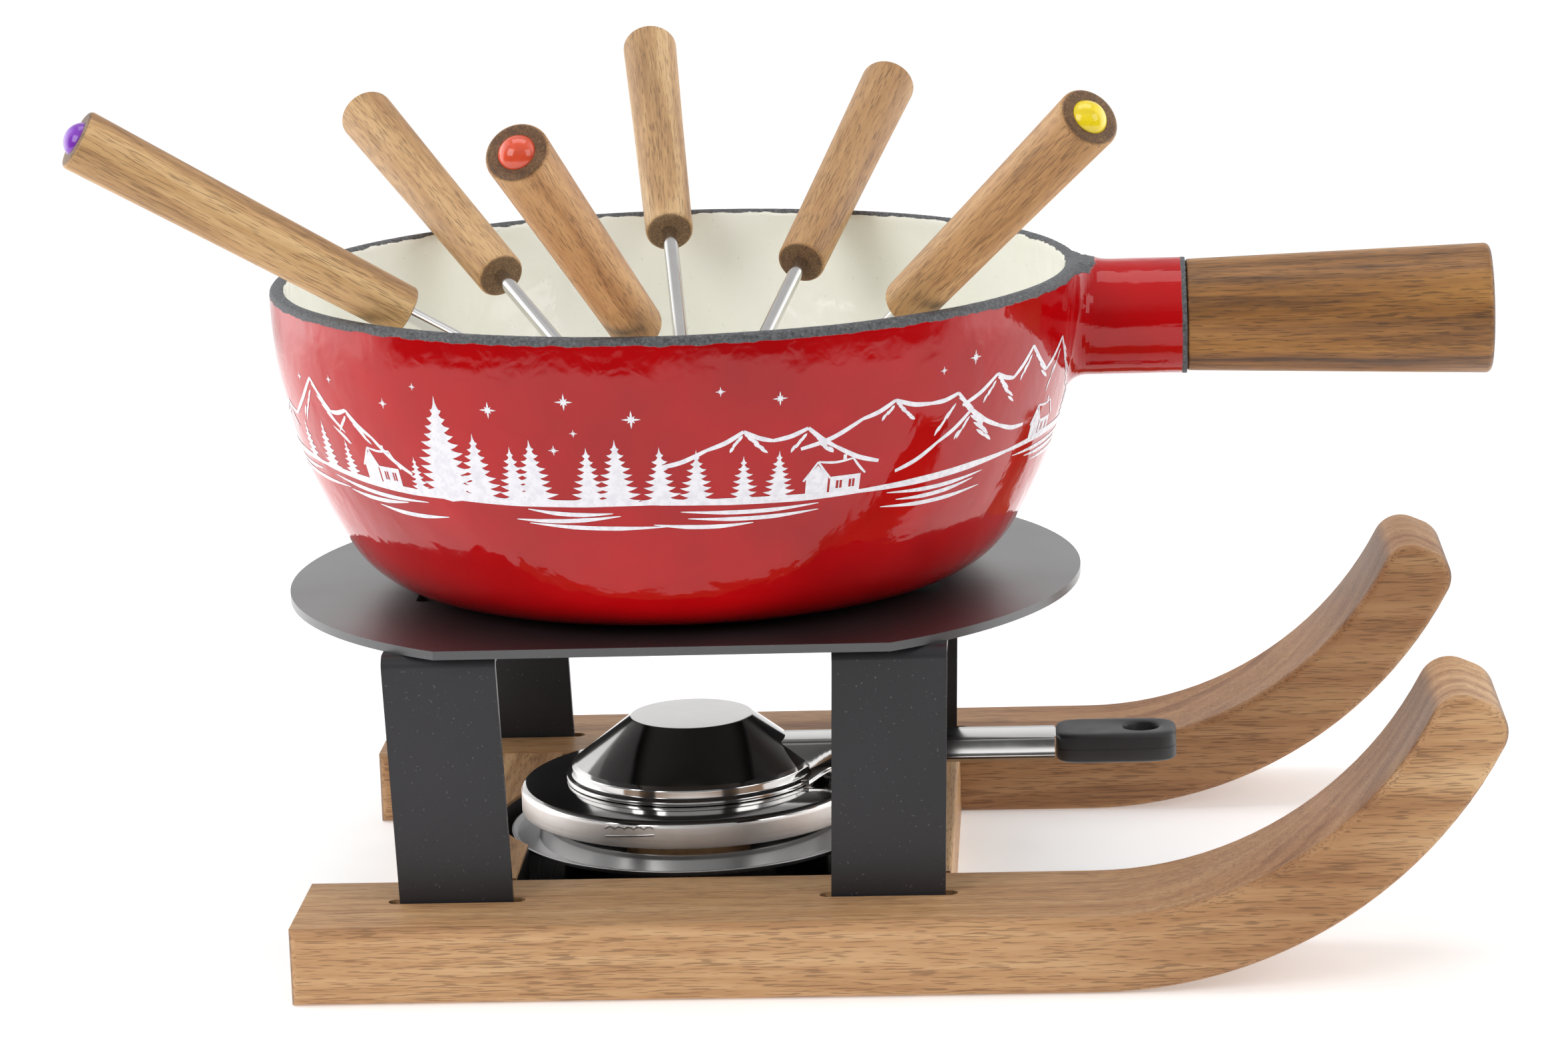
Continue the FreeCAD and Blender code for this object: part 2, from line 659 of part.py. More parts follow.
def make_vent_plate():
    """Fixed plate on the cup's edge, with the wick's opening and the air holes."""
    body = turned("burner_vent_plate", rectangle(
        "Size.lid_opening - 1", "Size.cup_top", "Size.neck_radius", "Size.cup_top + Size.tin"))
    air_holes(body, "Size.cup_top + Size.tin", "Size.tin")
    return body


def make_mesh():
    return turned("burner_mesh", rectangle("0", "Size.cup_top - 0.6", "Size.lid_opening + 2", "Size.cup_top"))


def make_lid():
    """Lid that turns on the cup's neck: a band with its lower edge turned in, and a flat top."""
    under = "(Size.cup_top + Size.tin + 0.1)"
    band_inner = "Size.band_radius - Size.tin"
    body = turned("burner_lid", [
        ("Size.neck_radius + 0.35", "Size.band_foot"),
        ("Size.band_radius", "Size.band_foot"),
        ("Size.band_radius", f"{under} - 0.6", "1", 1),
        ("Size.band_radius - 1", f"{under} + 0.4"),
        ("Size.neck_radius - 1", f"{under} + Size.tin"),
        ("Size.lid_opening", f"{under} + Size.tin"),
        ("Size.lid_opening", under),
        ("Size.neck_radius - 1", under),
        (band_inner, f"{under} - 0.4"),
        (band_inner, "Size.band_foot + Size.tin"),
        ("Size.neck_radius + 0.35", "Size.band_foot + Size.tin"),
    ])
    air_holes(body, f"{under} + Size.tin", "Size.tin")
    return body


def make_snuffer():
    """Cap of sheet: flat top, cone, and a stepped lower edge."""
    tin = "Size.tin"
    step = "Size.snuffer_step"
    foot = "Size.snuffer_foot"
    return turned("snuffer_cap", [
        ("0", f"Size.snuffer_top - {tin}"),
        (f"Size.snuffer_disc - {tin} / 2", f"Size.snuffer_top - {tin}"),
        (f"Size.cone_radius - {tin}", f"Size.cone_foot - {tin} / 2"),
        (f"{step} - {tin}", f"{foot} + 3.3"),
        (f"{step} - {tin}", f"{foot} + 1.4"),
        (f"Size.snuffer_radius - {tin}", f"{foot} + 0.6"),
        (f"Size.snuffer_radius - {tin}", foot),
        ("Size.snuffer_radius", foot),
        ("Size.snuffer_radius", f"{foot} + 1.1"),
        (step, f"{foot} + 1.9"),
        (step, f"{foot} + 3.6"),
        ("Size.cone_radius", "Size.cone_foot"),
        ("Size.snuffer_disc", "Size.snuffer_top"),
        ("0", "Size.snuffer_top"),
    ])


def make_arm():
    """Channel open below, with a tongue for the grip, cut to the snuffer's cone where they meet."""
    body = new_body("snuffer_arm")
    top = "Size.arm_top"
    half = "Size.arm_wide / 2"
    sketch = new_sketch(body, "YZ_Plane", "Size.snuffer_disc")
    draw(sketch, [
        (f"-{half}", f"{top} - Size.arm_deep"),
        (f"-{half} + Size.tin", f"{top} - Size.arm_deep"),
        (f"-{half} + Size.tin", f"{top} - Size.tin"),
        (f"{half} - Size.tin", f"{top} - Size.tin"),
        (f"{half} - Size.tin", f"{top} - Size.arm_deep"),
        (half, f"{top} - Size.arm_deep"),
        (half, top),
        (f"-{half}", top),
    ])
    pad(body, sketch, "Size.arm_end - Size.snuffer_disc")
    tongue = new_sketch(body, "XY_Plane", top)
    wide = "Size.tongue_wide / 2"
    draw(tongue, rectangle("Size.arm_end - 1", f"-{wide}", "Size.arm_end + Size.tongue_long", wide))
    pad(body, tongue, "Size.tin * 1.5", backwards=True)
    cone = new_sketch(body, "XZ_Plane")
    slope = "((Size.cone_radius - Size.snuffer_disc) / (Size.snuffer_top - Size.cone_foot))"
    reach = f"(Size.cone_radius + {slope} * (Size.cone_foot - 30) + 0.02)"
    draw(cone, [("0", "30"), (reach, "30"), ("Size.snuffer_disc + 0.02", "Size.snuffer_top"),
                ("0", "Size.snuffer_top")])
    revolve(body, cone, kind="Groove")
    return body


def make_knob():
    """The snuffer's grip: a rounded bar with a hanging hole and a socket for the tongue."""
    body = new_body("snuffer_grip")
    start = "(Size.arm_end + 0.5)"
    half = "Size.knob_wide / 2"
    sketch = new_sketch(body, "XY_Plane", "Size.knob_foot")
    draw(sketch, rectangle(start, f"-{half}", f"{start} + Size.knob_long", half))
    pad(body, sketch, "Size.knob_top - Size.knob_foot")
    fillet(body, "Size.knob_round", lambda e: True)
    hole = new_sketch(body, "XY_Plane", "Size.knob_top")
    draw_circle(hole, f"{start} + Size.knob_hole_at", "0", "Size.knob_hole")
    pocket(body, hole, "Size.knob_top - Size.knob_foot")
    socket = new_sketch(body, "XY_Plane", "Size.arm_top + 0.1")
    wide = "(Size.tongue_wide / 2 + 0.1)"
    draw(socket, rectangle("Size.arm_end - 1", f"-{wide}", "Size.arm_end + Size.tongue_long + 0.2", wide))
    pocket(body, socket, "Size.tin * 1.5 + 0.2")
    return body


# ---------------------------------------------------------------- build


def build():
    pieces = [make_runner("runner_front", -1), make_runner("runner_back", 1), make_board()]
    for side, row_name in ((-1, "front"), (1, "back")):
        for end, end_name in ((-1, "tail"), (1, "nose")):
            pieces.append(make_dowel(f"dowel_{row_name}_{end_name}", side, end))
    pieces += [make_plate(), make_bracket("bracket_right", 0), make_bracket("bracket_left", 180)]
    pieces += [make_pot(), make_grip(), make_bolt()]
    for index, stance in enumerate(FORKS, start=1):
        pieces += make_fork(index, stance)
    pieces += [make_dish(), make_cup(), make_fleece(), make_vent_plate(), make_mesh(), make_lid()]
    pieces += [make_snuffer(), make_arm(), make_knob()]
    return pieces


def check_and_write(pieces):
    doc.recompute()
    for thing in doc.Objects:
        if "Invalid" in thing.State or "Error" in thing.State:
            raise RuntimeError(f"{thing.Label} failed: {thing.State}")
    os.makedirs("parts", exist_ok=True)
    for piece in pieces:
        shape = piece.Shape
        if shape.isNull() or not shape.isValid():
            raise RuntimeError(f"{piece.Label} has a bad shape")
        if len(shape.Solids) != 1:
            raise RuntimeError(f"{piece.Label} has {len(shape.Solids)} solids")
        shape.exportStep(os.path.join("parts", f"{piece.Label}.step"))
        print(piece.Label, round(shape.Volume, 1))


check_and_write(build())
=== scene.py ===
"""Looks of a fondue pot set: an enamelled pot with forks on a stand, with a burner, on a wooden sledge base.

Metres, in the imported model's frame: +X towards the noses and the pot's handle, +Z up.
"""

import json
import random
from math import asin, atan2, copysign, cos, pi, radians, sin, sqrt, tan

import bmesh
import bpy
import numpy as np
from mathutils import Matrix, Vector, noise


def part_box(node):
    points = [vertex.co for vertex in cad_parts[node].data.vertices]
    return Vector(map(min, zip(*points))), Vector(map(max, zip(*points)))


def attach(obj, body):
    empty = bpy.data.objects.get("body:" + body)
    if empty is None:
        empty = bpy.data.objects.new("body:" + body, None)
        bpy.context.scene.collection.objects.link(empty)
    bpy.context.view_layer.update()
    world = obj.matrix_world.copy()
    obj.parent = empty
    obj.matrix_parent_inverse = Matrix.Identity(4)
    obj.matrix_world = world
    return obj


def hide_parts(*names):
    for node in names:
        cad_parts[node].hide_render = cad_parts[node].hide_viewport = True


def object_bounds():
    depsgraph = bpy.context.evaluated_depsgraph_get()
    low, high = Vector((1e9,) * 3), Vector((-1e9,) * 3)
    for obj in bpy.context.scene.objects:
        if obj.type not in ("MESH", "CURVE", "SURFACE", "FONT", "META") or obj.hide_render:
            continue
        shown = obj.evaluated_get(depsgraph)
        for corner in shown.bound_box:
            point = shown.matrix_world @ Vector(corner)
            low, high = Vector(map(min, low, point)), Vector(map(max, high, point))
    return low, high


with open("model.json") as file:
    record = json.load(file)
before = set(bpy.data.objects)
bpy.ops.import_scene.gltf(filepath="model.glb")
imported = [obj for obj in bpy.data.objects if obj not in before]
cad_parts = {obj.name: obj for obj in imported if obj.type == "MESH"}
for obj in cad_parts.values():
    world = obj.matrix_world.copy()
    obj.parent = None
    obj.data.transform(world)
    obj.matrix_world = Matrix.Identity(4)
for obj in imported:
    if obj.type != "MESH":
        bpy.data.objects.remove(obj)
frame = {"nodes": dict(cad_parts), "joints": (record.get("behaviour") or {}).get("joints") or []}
CAD_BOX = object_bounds()
MM = 0.001
AXES = {joint["child"]: Vector(joint["axis"]) for joint in frame["joints"]}


# -------- camera, light and floor


def link(name, data):
    """A new object in the scene."""
    thing = bpy.data.objects.new(name, data)
    bpy.context.scene.collection.objects.link(thing)
    return thing


def new_mesh(name, vertices, faces):
    mesh = bpy.data.meshes.new(name)
    mesh.from_pydata(vertices, [], faces)
    return mesh


def make_camera():
    """The photograph's viewpoint: azimuth 0 looks along +Y."""
    azimuth, elevation, roll = (radians(a) for a in (3.348, 12.037, 1.912))
    focus = Vector((29.9, 0, 110.4)) * MM
    distance = 1459.7 * MM
    back = Vector((sin(azimuth) * cos(elevation), -cos(azimuth) * cos(elevation), sin(elevation)))
    right = (-back).cross(Vector((0, 0, 1))).normalized()
    up = right.cross(-back)
    side = right * cos(roll) - up * sin(roll)
    top = right * sin(roll) + up * cos(roll)
    data = bpy.data.cameras.new("camera")
    data.sensor_width = 36.0
    data.lens = 112.27
    camera = link("camera", data)
    camera.matrix_world = Matrix((side, top, back)).transposed().to_4x4()
    camera.matrix_world.translation = focus + back * distance
    bpy.context.scene.camera = camera


def make_light(name, place, size, power, target=(0, 0, 0.12)):
    data = bpy.data.lights.new(name, "AREA")
    data.shape = "RECTANGLE"
    data.size, data.size_y = size
    data.energy = power
    light = link(name, data)
    light.location = place
    light.rotation_euler = (Vector(place) - Vector(target)).to_track_quat("Z", "Y").to_euler()


def make_world():
    """White for the camera; for light and reflections, a bright backdrop with brighter sides, a dim room in
    front, and soft light above.
    """
    world = bpy.data.worlds.new("studio")
    bpy.context.scene.world = world
    world.use_nodes = True
    g = Nodes("studio_nodes", world.node_tree)
    split = g.add("SeparateXYZ", {0: g.generated})
    behind = g.ramp(g.math("MULTIPLY_ADD", split.outputs["Y"], 0.5, 0.5), (0.40, 0.0), (0.56, 1.0))
    upward = g.math("MULTIPLY_ADD", split.outputs["Z"], 0.5, 0.5)
    room = g.ramp(upward, (0.46, 0.10), (0.62, 0.16), (0.80, 0.62), (1.0, 0.72))
    backdrop = g.ramp(upward, (0.40, 1.05), (0.62, 1.05), (0.78, 0.72), (1.0, 0.66))
    sideways = g.math("ABSOLUTE", split.outputs["X"])
    panels = g.ramp(sideways, (0.5, 1.0), (0.78, 2.6))
    backdrop = g.mix(1.0, backdrop, panels, "MULTIPLY")
    studio = g.add("Background", {"Color": g.mix(behind, room, backdrop), "Strength": 0.92})
    white = g.add("Background", {"Color": 1.0, "Strength": 1.05})
    shown = g.add("LightPath").outputs["Is Camera Ray"]
    mixed = g.add("MixShader", {0: shown, 1: studio.outputs[0], 2: white.outputs[0]})
    g.add("OutputWorld", {"Surface": mixed.outputs[0]})


def make_floor():
    """A wide pale table whose edge fades out."""
    half, gap = 3.0, 0.2 * MM
    fade_from, fade_to = 0.255, 0.33
    corners = ((-half, -half), (half, -half), (half, half), (-half, half))
    mesh = new_mesh("floor", [(x, y, CAD_BOX[0].z - gap) for x, y in corners], [(0, 1, 2, 3)])
    floor = link("floor", mesh)
    g = Nodes("pale_floor")
    distance = g.vector("LENGTH", g.place, output="Value")
    fade = g.ramp(g.math("DIVIDE", distance, half), (fade_from, 1.0), (fade_to, 0.0))
    speck = g.ramp(g.noise(40, 3), (0.3, (0.93, 0.93, 0.93)), (0.7, (0.96, 0.96, 0.96)))
    mirrored = g.math("MULTIPLY_ADD", g.add("LightPath").outputs["Is Glossy Ray"], 0.22, 0.30)
    lit = g.add("BsdfPrincipled", {"Base Color": speck, "Roughness": 0.75, "Emission Color": speck,
                                   "Emission Strength": mirrored})
    clear = g.add("BsdfTransparent")
    mixed = g.add("MixShader", {0: fade, 1: clear.outputs[0], 2: lit.outputs[0]})
    g.add("OutputMaterial", {"Surface": mixed.outputs[0]})
    g.material.cycles.emission_sampling = "NONE"
    mesh.materials.append(g.material)


# -------- materials


def srgb(red, green, blue):
    """A colour given as 0 to 255, in linear light."""
    parts = [c / 255 for c in (red, green, blue)]
    return tuple(c / 12.92 if c <= 0.04045 else ((c + 0.055) / 1.055) ** 2.4 for c in parts)


def rgba(colour):
    return (*colour, 1.0) if isinstance(colour, tuple) else (colour, colour, colour, 1.0)


class Nodes:
    """Short calls for one material's nodes."""

    def __init__(self, name, tree=None):
        if tree is None:
            self.material = bpy.data.materials.new(name)
            self.material.use_nodes = True
            tree = self.material.node_tree
        self.tree = tree
        self.tree.nodes.clear()
        source = self.add("TexCoord")
        self.place = source.outputs["Object"]
        self.facing = source.outputs["Normal"]
        self.generated = source.outputs["Generated"]

    def add(self, kind, inputs=None, **props):
        node = self.tree.nodes.new("ShaderNode" + kind)
        for key, value in props.items():
            setattr(node, key, value)
        for key, value in (inputs or {}).items():
            if isinstance(value, bpy.types.NodeSocket):
                self.tree.links.new(value, node.inputs[key])
            elif node.inputs[key].type == "RGBA":
                node.inputs[key].default_value = rgba(value)
            else:
                node.inputs[key].default_value = value
        return node

    def math(self, operation, *values, clamp=False):
        return self.add("Math", dict(enumerate(values)), operation=operation, use_clamp=clamp).outputs[0]

    def times(self, a, b):
        return self.math("MULTIPLY", a, b)

    def vector(self, operation, *values, output=0):
        return self.add("VectorMath", dict(enumerate(values)), operation=operation).outputs[output]

    def axes(self):
        """The place's X, Y and Z, and its distance from the Z axis."""
        split = self.add("SeparateXYZ", {0: self.place}).outputs
        level = self.add("CombineXYZ", {"X": split["X"], "Y": split["Y"]}).outputs[0]
        return split["X"], split["Y"], split["Z"], self.vector("LENGTH", level, output="Value")

    def stripes(self, value, detail):
        """Noise along one line."""
        return self.add("TexNoise", {"W": value, "Scale": 1.0, "Detail": detail},
                        noise_dimensions="1D").outputs["Fac"]

    def moved(self, scale, shift=(0, 0, 0)):
        return self.add("Mapping", {"Vector": self.place, "Scale": scale, "Location": shift}).outputs[0]

    def noise(self, scale, detail=2.0, vector=None, rough=0.5, distortion=0.0):
        inputs = {"Vector": vector or self.place, "Scale": scale, "Detail": detail, "Roughness": rough,
                  "Distortion": distortion}
        return self.add("TexNoise", inputs).outputs["Fac"]

    def ramp(self, value, *stops):
        node = self.add("ValToRGB", {"Fac": value})
        elements = node.color_ramp.elements
        while len(elements) < len(stops):
            elements.new(1.0)
        for element, (position, colour) in zip(elements, stops):
            element.position = position
            element.color = rgba(colour)
        return node.outputs["Color"]

    def mix(self, factor, a, b, kind="MIX"):
        inputs = {0: factor, 6: a, 7: b}
        return self.add("Mix", inputs, data_type="RGBA", blend_type=kind).outputs[2]

    def bump(self, height, distance, before=None, strength=1.0):
        inputs = {"Height": height, "Distance": distance, "Strength": strength}
        if before is not None:
            inputs["Normal"] = before
        return self.add("Bump", inputs).outputs[0]

    def finish(self, colour, roughness, normal, **more):
        inputs = {"Base Color": colour, "Roughness": roughness, "Normal": normal}
        inputs.update({key.replace("_", " "): value for key, value in more.items()})
        shader = self.add("BsdfPrincipled", inputs)
        self.add("OutputMaterial", {"Surface": shader.outputs[0]})
        return self.material


def wood(name, grain, seed, pale, middle, dark, pore, ring=150, pith=(0.05, 0.05, -0.09), rough=0.5,
         pores=0.60, size=1.0, contrast=1.0, painted_shade_well=None, dark_stretch=None):
    """Timber cut from a block: growth rings round a pith, long fibres and open pores along the grain axis.

    For a recess, give its round radius, the half width of the channel across it, and the height below which
    both are painted near-black as the shade in the hollow. Along X the colour can darken over a stretch:
    where it starts, is darkest, starts to fade, ends.
    """
    g = Nodes(name)
    x, _, z, reach = g.axes()
    axis = "XYZ".index(grain)
    shift = tuple(seed * k for k in (1.7, 2.9, 4.3))

    def along(lengthways, across):
        scale = [across / size] * 3
        scale[axis] = lengthways / size
        return g.moved(scale, shift)

    across_only = [1.0] * 3
    across_only[axis] = 0.0
    slow = g.noise(1.0, 2, along(5, 22))
    flat = g.vector("MULTIPLY", g.vector("SUBTRACT", g.place, pith), across_only)
    radius = g.vector("LENGTH", flat, output="Value")
    rings = g.math("MULTIPLY_ADD", radius, ring / size, g.times(slow, 3.5))
    band = g.stripes(g.math("ADD", rings, seed * 3.1), 2.5)
    fibre = g.noise(1.0, 4, along(28, 650), rough=0.6)
    cells = g.noise(1.0, 1.0, along(130, 2500))
    crowd = g.noise(1.0, 2, along(18, 140))
    drift = g.noise(1.0, 3, along(9, 60))
    tone = g.math("ADD", g.times(band, 0.36), g.times(fibre, 0.30))
    tone = g.math("MULTIPLY_ADD", drift, 0.34, tone)
    half = 0.15 / contrast
    colour = g.ramp(tone, (0.5 - half, dark), (0.5 - half * 0.1, middle), (0.5 + half, pale))
    open_pores = g.ramp(g.math("ADD", cells, g.times(crowd, 0.22)),
                        (pores + 0.07, 0.0), (pores + 0.14, 1.0))
    lengthways = [float(i == axis) for i in range(3)]
    facing_end = g.vector("DOT_PRODUCT", g.facing, lengthways, output="Value")
    end = g.ramp(g.math("ABSOLUTE", facing_end), (0.62, 0.0), (0.92, 1.0))
    speckle = g.ramp(g.noise(1300 / size, 3, rough=0.7), (0.42, 0.25), (0.62, 1.0))
    colour = g.mix(g.times(open_pores, 0.5), colour, pore)
    ends = g.mix(0.75, g.mix(0.72, colour, pore), speckle, "MULTIPLY")
    colour = g.mix(g.times(end, 0.92), colour, ends)
    # Painted shade: the recess and the channel across it go near-black below their top, standing in for the
    # shade in the hollow under the burner.
    if painted_shade_well is not None:
        well_radius, half_width, top = painted_shade_well
        inside = g.math("MAXIMUM", g.math("LESS_THAN", reach, well_radius),
                        g.math("LESS_THAN", g.math("ABSOLUTE", x), half_width))
        colour = g.mix(g.times(inside, g.math("LESS_THAN", z, top)), colour, srgb(22, 21, 21))
    # The colour darkens along X over the given stretch, fading in and out at its ends.
    if dark_stretch is not None:
        darkening = g.math("SUBTRACT", step(g, x, *dark_stretch[:2]), step(g, x, *dark_stretch[2:]))
        darkening = g.math("MULTIPLY_ADD", drift, 0.5, darkening)
        colour = g.mix(g.times(darkening, 0.62), colour, srgb(196, 178, 160), "MULTIPLY")
    worn = g.ramp(slow, (0.3, rough - 0.07), (0.7, rough + 0.08))
    relief = g.math("SUBTRACT", g.times(fibre, 0.35), open_pores)
    return g.finish(colour, worn, g.bump(relief, 0.00006 * size, strength=0.7), Specular_IOR_Level=0.42)


HONEY = dict(pale=srgb(222, 184, 138), middle=srgb(198, 154, 108), dark=srgb(158, 113, 74),
             pore=srgb(104, 72, 48))
TAWNY = dict(pale=srgb(206, 166, 120), middle=srgb(180, 136, 91), dark=srgb(138, 98, 62),
             pore=srgb(88, 58, 38))
RUSSET = dict(pale=srgb(186, 134, 70), middle=srgb(148, 101, 52), dark=srgb(90, 60, 34),
              pore=srgb(50, 34, 24))


def iron_rim(g):
    """Colour, roughness and height of bare cast iron."""
    grit = g.noise(1100, 4, rough=0.65)
    lumps = g.noise(260, 2)
    colour = g.ramp(grit, (0.3, srgb(58, 60, 63)), (0.55, srgb(98, 100, 103)), (0.75, srgb(132, 133, 135)))
    height = g.math("ADD", g.times(grit, 0.6), lumps)
    return colour, g.ramp(grit, (0.3, 0.5), (0.7, 0.75)), height


def step(g, value, low, high):
    """0 below low, 1 above high."""
    inputs = {"Value": value, "From Min": low, "From Max": high}
    return g.add("MapRange", inputs).outputs[0]


def enamel(name, deep, bright, bare_from, stub_end=None, bare_to=1.0):
    """Vitreous enamel over cast iron, bare at the rim and at the end of the handle's stub."""
    g = Nodes(name)
    x, _, z, reach = g.axes()
    ragged = g.math("SUBTRACT", g.noise(140, 3, rough=0.6), 0.5)
    height = g.math("MULTIPLY_ADD", ragged, 0.0022, z)
    reach = g.math("MULTIPLY_ADD", ragged, 0.004, reach)
    bare = g.times(step(g, height, bare_from - 0.0002, bare_from),
                  g.math("SUBTRACT", 1.0, step(g, reach, bare_to - 0.0006, bare_to)))
    if stub_end is not None:
        along = g.math("MULTIPLY_ADD", ragged, 0.0006, x)
        bare = g.math("MAXIMUM", bare, step(g, along, stub_end - 0.0016, stub_end - 0.0015))
    iron, iron_rough, iron_height = iron_rim(g)
    clouds = g.noise(16, 3, rough=0.6)
    pits = g.ramp(g.noise(900, 1), (0.22, 0.55), (0.26, 1.0))
    glaze = g.mix(0.35, g.ramp(clouds, (0.35, deep), (0.65, bright)), pits, "MULTIPLY")
    colour = g.mix(bare, glaze, iron)
    gloss = g.ramp(g.noise(60, 3), (0.35, 0.045), (0.65, 0.11))
    rough = g.mix(bare, gloss, iron_rough)
    swell = g.noise(55, 2, rough=0.45, distortion=0.6)
    lumps = g.noise(150, 2, rough=0.5, distortion=0.4)
    peel = g.noise(480, 2)
    waves = g.bump(swell, 0.0009, strength=0.55)
    waves = g.bump(lumps, 0.00016, waves, strength=0.8)
    waves = g.bump(peel, 0.00002, waves, strength=0.8)
    edge = g.bump(g.math("SUBTRACT", 1.0, bare), 0.00025, waves)
    normal = g.bump(g.times(iron_height, bare), 0.0006, edge, strength=0.9)
    return g.finish(colour, rough, normal, Specular_IOR_Level=0.36)


def base_black():
    """Matt near-black for the pot's underside and foot ring."""
    g = Nodes("base_black")
    grit = g.noise(900, 4, rough=0.65)
    colour = g.ramp(grit, (0.3, srgb(16, 16, 17)), (0.7, srgb(30, 30, 31)))
    return g.finish(colour, g.ramp(grit, (0.3, 0.5), (0.7, 0.65)), g.bump(grit, 0.0002))


def print_white():
    """The screen-printed white of the picture: slightly thinner in places."""
    g = Nodes("print_white")
    thin = g.noise(420, 3, rough=0.6)
    colour = g.ramp(thin, (0.3, srgb(224, 222, 230)), (0.6, srgb(240, 239, 244)))
    return g.finish(colour, g.ramp(thin, (0.3, 0.22), (0.7, 0.34)), g.bump(thin, 0.00002))


def powder_coat(name, sheen, gloss):
    """Black textured powder coat with specks of dust."""
    g = Nodes(name)
    grain = g.noise(2600, 3, rough=0.6)
    broad = g.noise(18, 2)
    dust = g.ramp(g.noise(1300, 0), (0.80, 0.0), (0.84, 1.0))
    colour = g.ramp(g.math("ADD", g.times(grain, 0.4), g.times(broad, 0.6)),
                    (0.35, srgb(36, 36, 38)), (0.65, srgb(49, 48, 51)))
    colour = g.mix(dust, colour, srgb(74, 74, 76))
    rough = g.ramp(broad, (0.3, 0.33), (0.7, 0.42))
    return g.finish(colour, rough, g.bump(grain, 0.00004, strength=0.6), Specular_IOR_Level=sheen,
                    Coat_Weight=gloss, Coat_Roughness=0.3)


def steel(name, roughness, brushed=0.0, tint=(0.64, 0.63, 0.62), metal=1.0):
    """Stainless steel, polished or with faint marks round the Z axis."""
    g = Nodes(name)
    smear = g.noise(35, 4, rough=0.6)
    hairs = g.times(g.stripes(g.times(g.axes()[2], 9000.0), 3.0), brushed)
    colour = g.ramp(smear, (0.3, tuple(c * 0.86 for c in tint)), (0.65, tint))
    rough = g.ramp(smear, (0.35, roughness), (0.7, roughness * 1.6))
    relief = g.math("ADD", hairs, g.times(smear, 0.3))
    return g.finish(colour, rough, g.bump(relief, 0.00002), Metallic=metal)


def gloss_plastic(name, colour):
    """Moulded glossy plastic with a faint swirl in its colour."""
    g = Nodes(name)
    swirl = g.noise(260, 2, distortion=1.2)
    tone = g.ramp(swirl, (0.3, tuple(c * 0.82 for c in colour)), (0.65, colour))
    return g.finish(tone, g.ramp(swirl, (0.3, 0.1), (0.7, 0.18)), g.bump(swirl, 0.00003),
                    Coat_Weight=0.3, Coat_Roughness=0.08)


def black_plastic():
    g = Nodes("moulded_black")
    grain = g.noise(2400, 3)
    broad = g.noise(70, 2)
    colour = g.ramp(broad, (0.3, srgb(30, 30, 32)), (0.7, srgb(44, 44, 47)))
    return g.finish(colour, g.ramp(broad, (0.3, 0.4), (0.7, 0.52)), g.bump(grain, 0.00005))


def fleece_white():
    g = Nodes("fibre_pad")
    fibre = g.noise(700, 5, rough=0.7, distortion=1.5)
    colour = g.ramp(fibre, (0.3, srgb(196, 192, 182)), (0.65, srgb(236, 233, 226)))
    return g.finish(colour, 0.9, g.bump(fibre, 0.0006))


def wire_cloth():
    """Woven wire: two crossed sets of fine ridges."""
    g = Nodes("wire_cloth")
    rows = [g.math("ABSOLUTE", g.math("SINE", g.times(axis, 2600.0))) for axis in g.axes()[:2]]
    weave = g.math("MAXIMUM", *rows)
    colour = g.ramp(weave, (0.3, (0.03, 0.03, 0.03)), (0.8, (0.55, 0.54, 0.52)))
    return g.finish(colour, 0.35, g.bump(weave, 0.0002), Metallic=0.9)


# -------- mesh helpers


def ring_angles(count):
    return [2 * pi * k / count for k in range(count)]


def arc(start, stop, radius, steps):
    """Points from start to stop in the plane, on an arc that bulges to the right of the way."""
    a, b = Vector(start), Vector(stop)
    half = (b - a).length / 2
    left = Vector((a.y - b.y, b.x - a.x)).normalized()
    centre = (a + b) / 2 + left * sqrt(max(radius ** 2 - half ** 2, 0.0))
    first = atan2(a.y - centre.y, a.x - centre.x)
    sweep = 2 * asin(min(1.0, half / radius))
    angles = [first + sweep * k / steps for k in range(steps + 1)]
    return [(centre.x + radius * cos(t), centre.y + radius * sin(t)) for t in angles]


def rounded(corners, steps=5):
    """An outline from corners (across, up) or (across, up, radius), with the latter rounded."""
    points = []
    for k, corner in enumerate(corners):
        here = Vector(corner[:2])
        if len(corner) == 2:
            points.append(tuple(here))
            continue
        back = (Vector(corners[k - 1][:2]) - here).normalized()
        ahead = (Vector(corners[(k + 1) % len(corners)][:2]) - here).normalized()
        half = back.angle(ahead) / 2
        reach = corner[2] / tan(half)
        centre = here + (back + ahead).normalized() * (corner[2] / sin(half))
        start, stop = here + back * reach - centre, here + ahead * reach - centre
        total = atan2(start.x * stop.y - start.y * stop.x, start.dot(stop))
        for n in range(steps + 1):
            turn = Matrix.Rotation(total * n / steps, 2)
            points.append(tuple(centre + turn @ start))
    return points


def turn_outwards(mesh, weld=False):
    """Face normals outwards, and doubled points welded if asked."""
    bm = bmesh.new()
    bm.from_mesh(mesh)
    if weld:
        bmesh.ops.remove_doubles(bm, verts=bm.verts, dist=1e-6)
    bmesh.ops.recalc_face_normals(bm, faces=bm.faces)
    bm.to_mesh(mesh)
    bm.free()


def smooth(mesh, angle=35.0):
    mesh.shade_smooth()
    mesh.set_sharp_from_angle(angle=radians(angle))


def make(name, vertices, faces, materials, body, slot, replaces=(), matrix=None, angle=35.0):
    """A piece from its vertices and faces, riding on a body."""
    mesh = new_mesh(name, [tuple(v) for v in vertices], [tuple(f) for f in faces])
    mesh.validate()
    smooth(mesh, angle)
    piece = link(name, mesh)
    for material in materials:
        mesh.materials.append(material)
    if matrix is not None:
        piece.matrix_world = matrix
    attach(piece, body)
    if replaces:
        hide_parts(*replaces)
    return piece


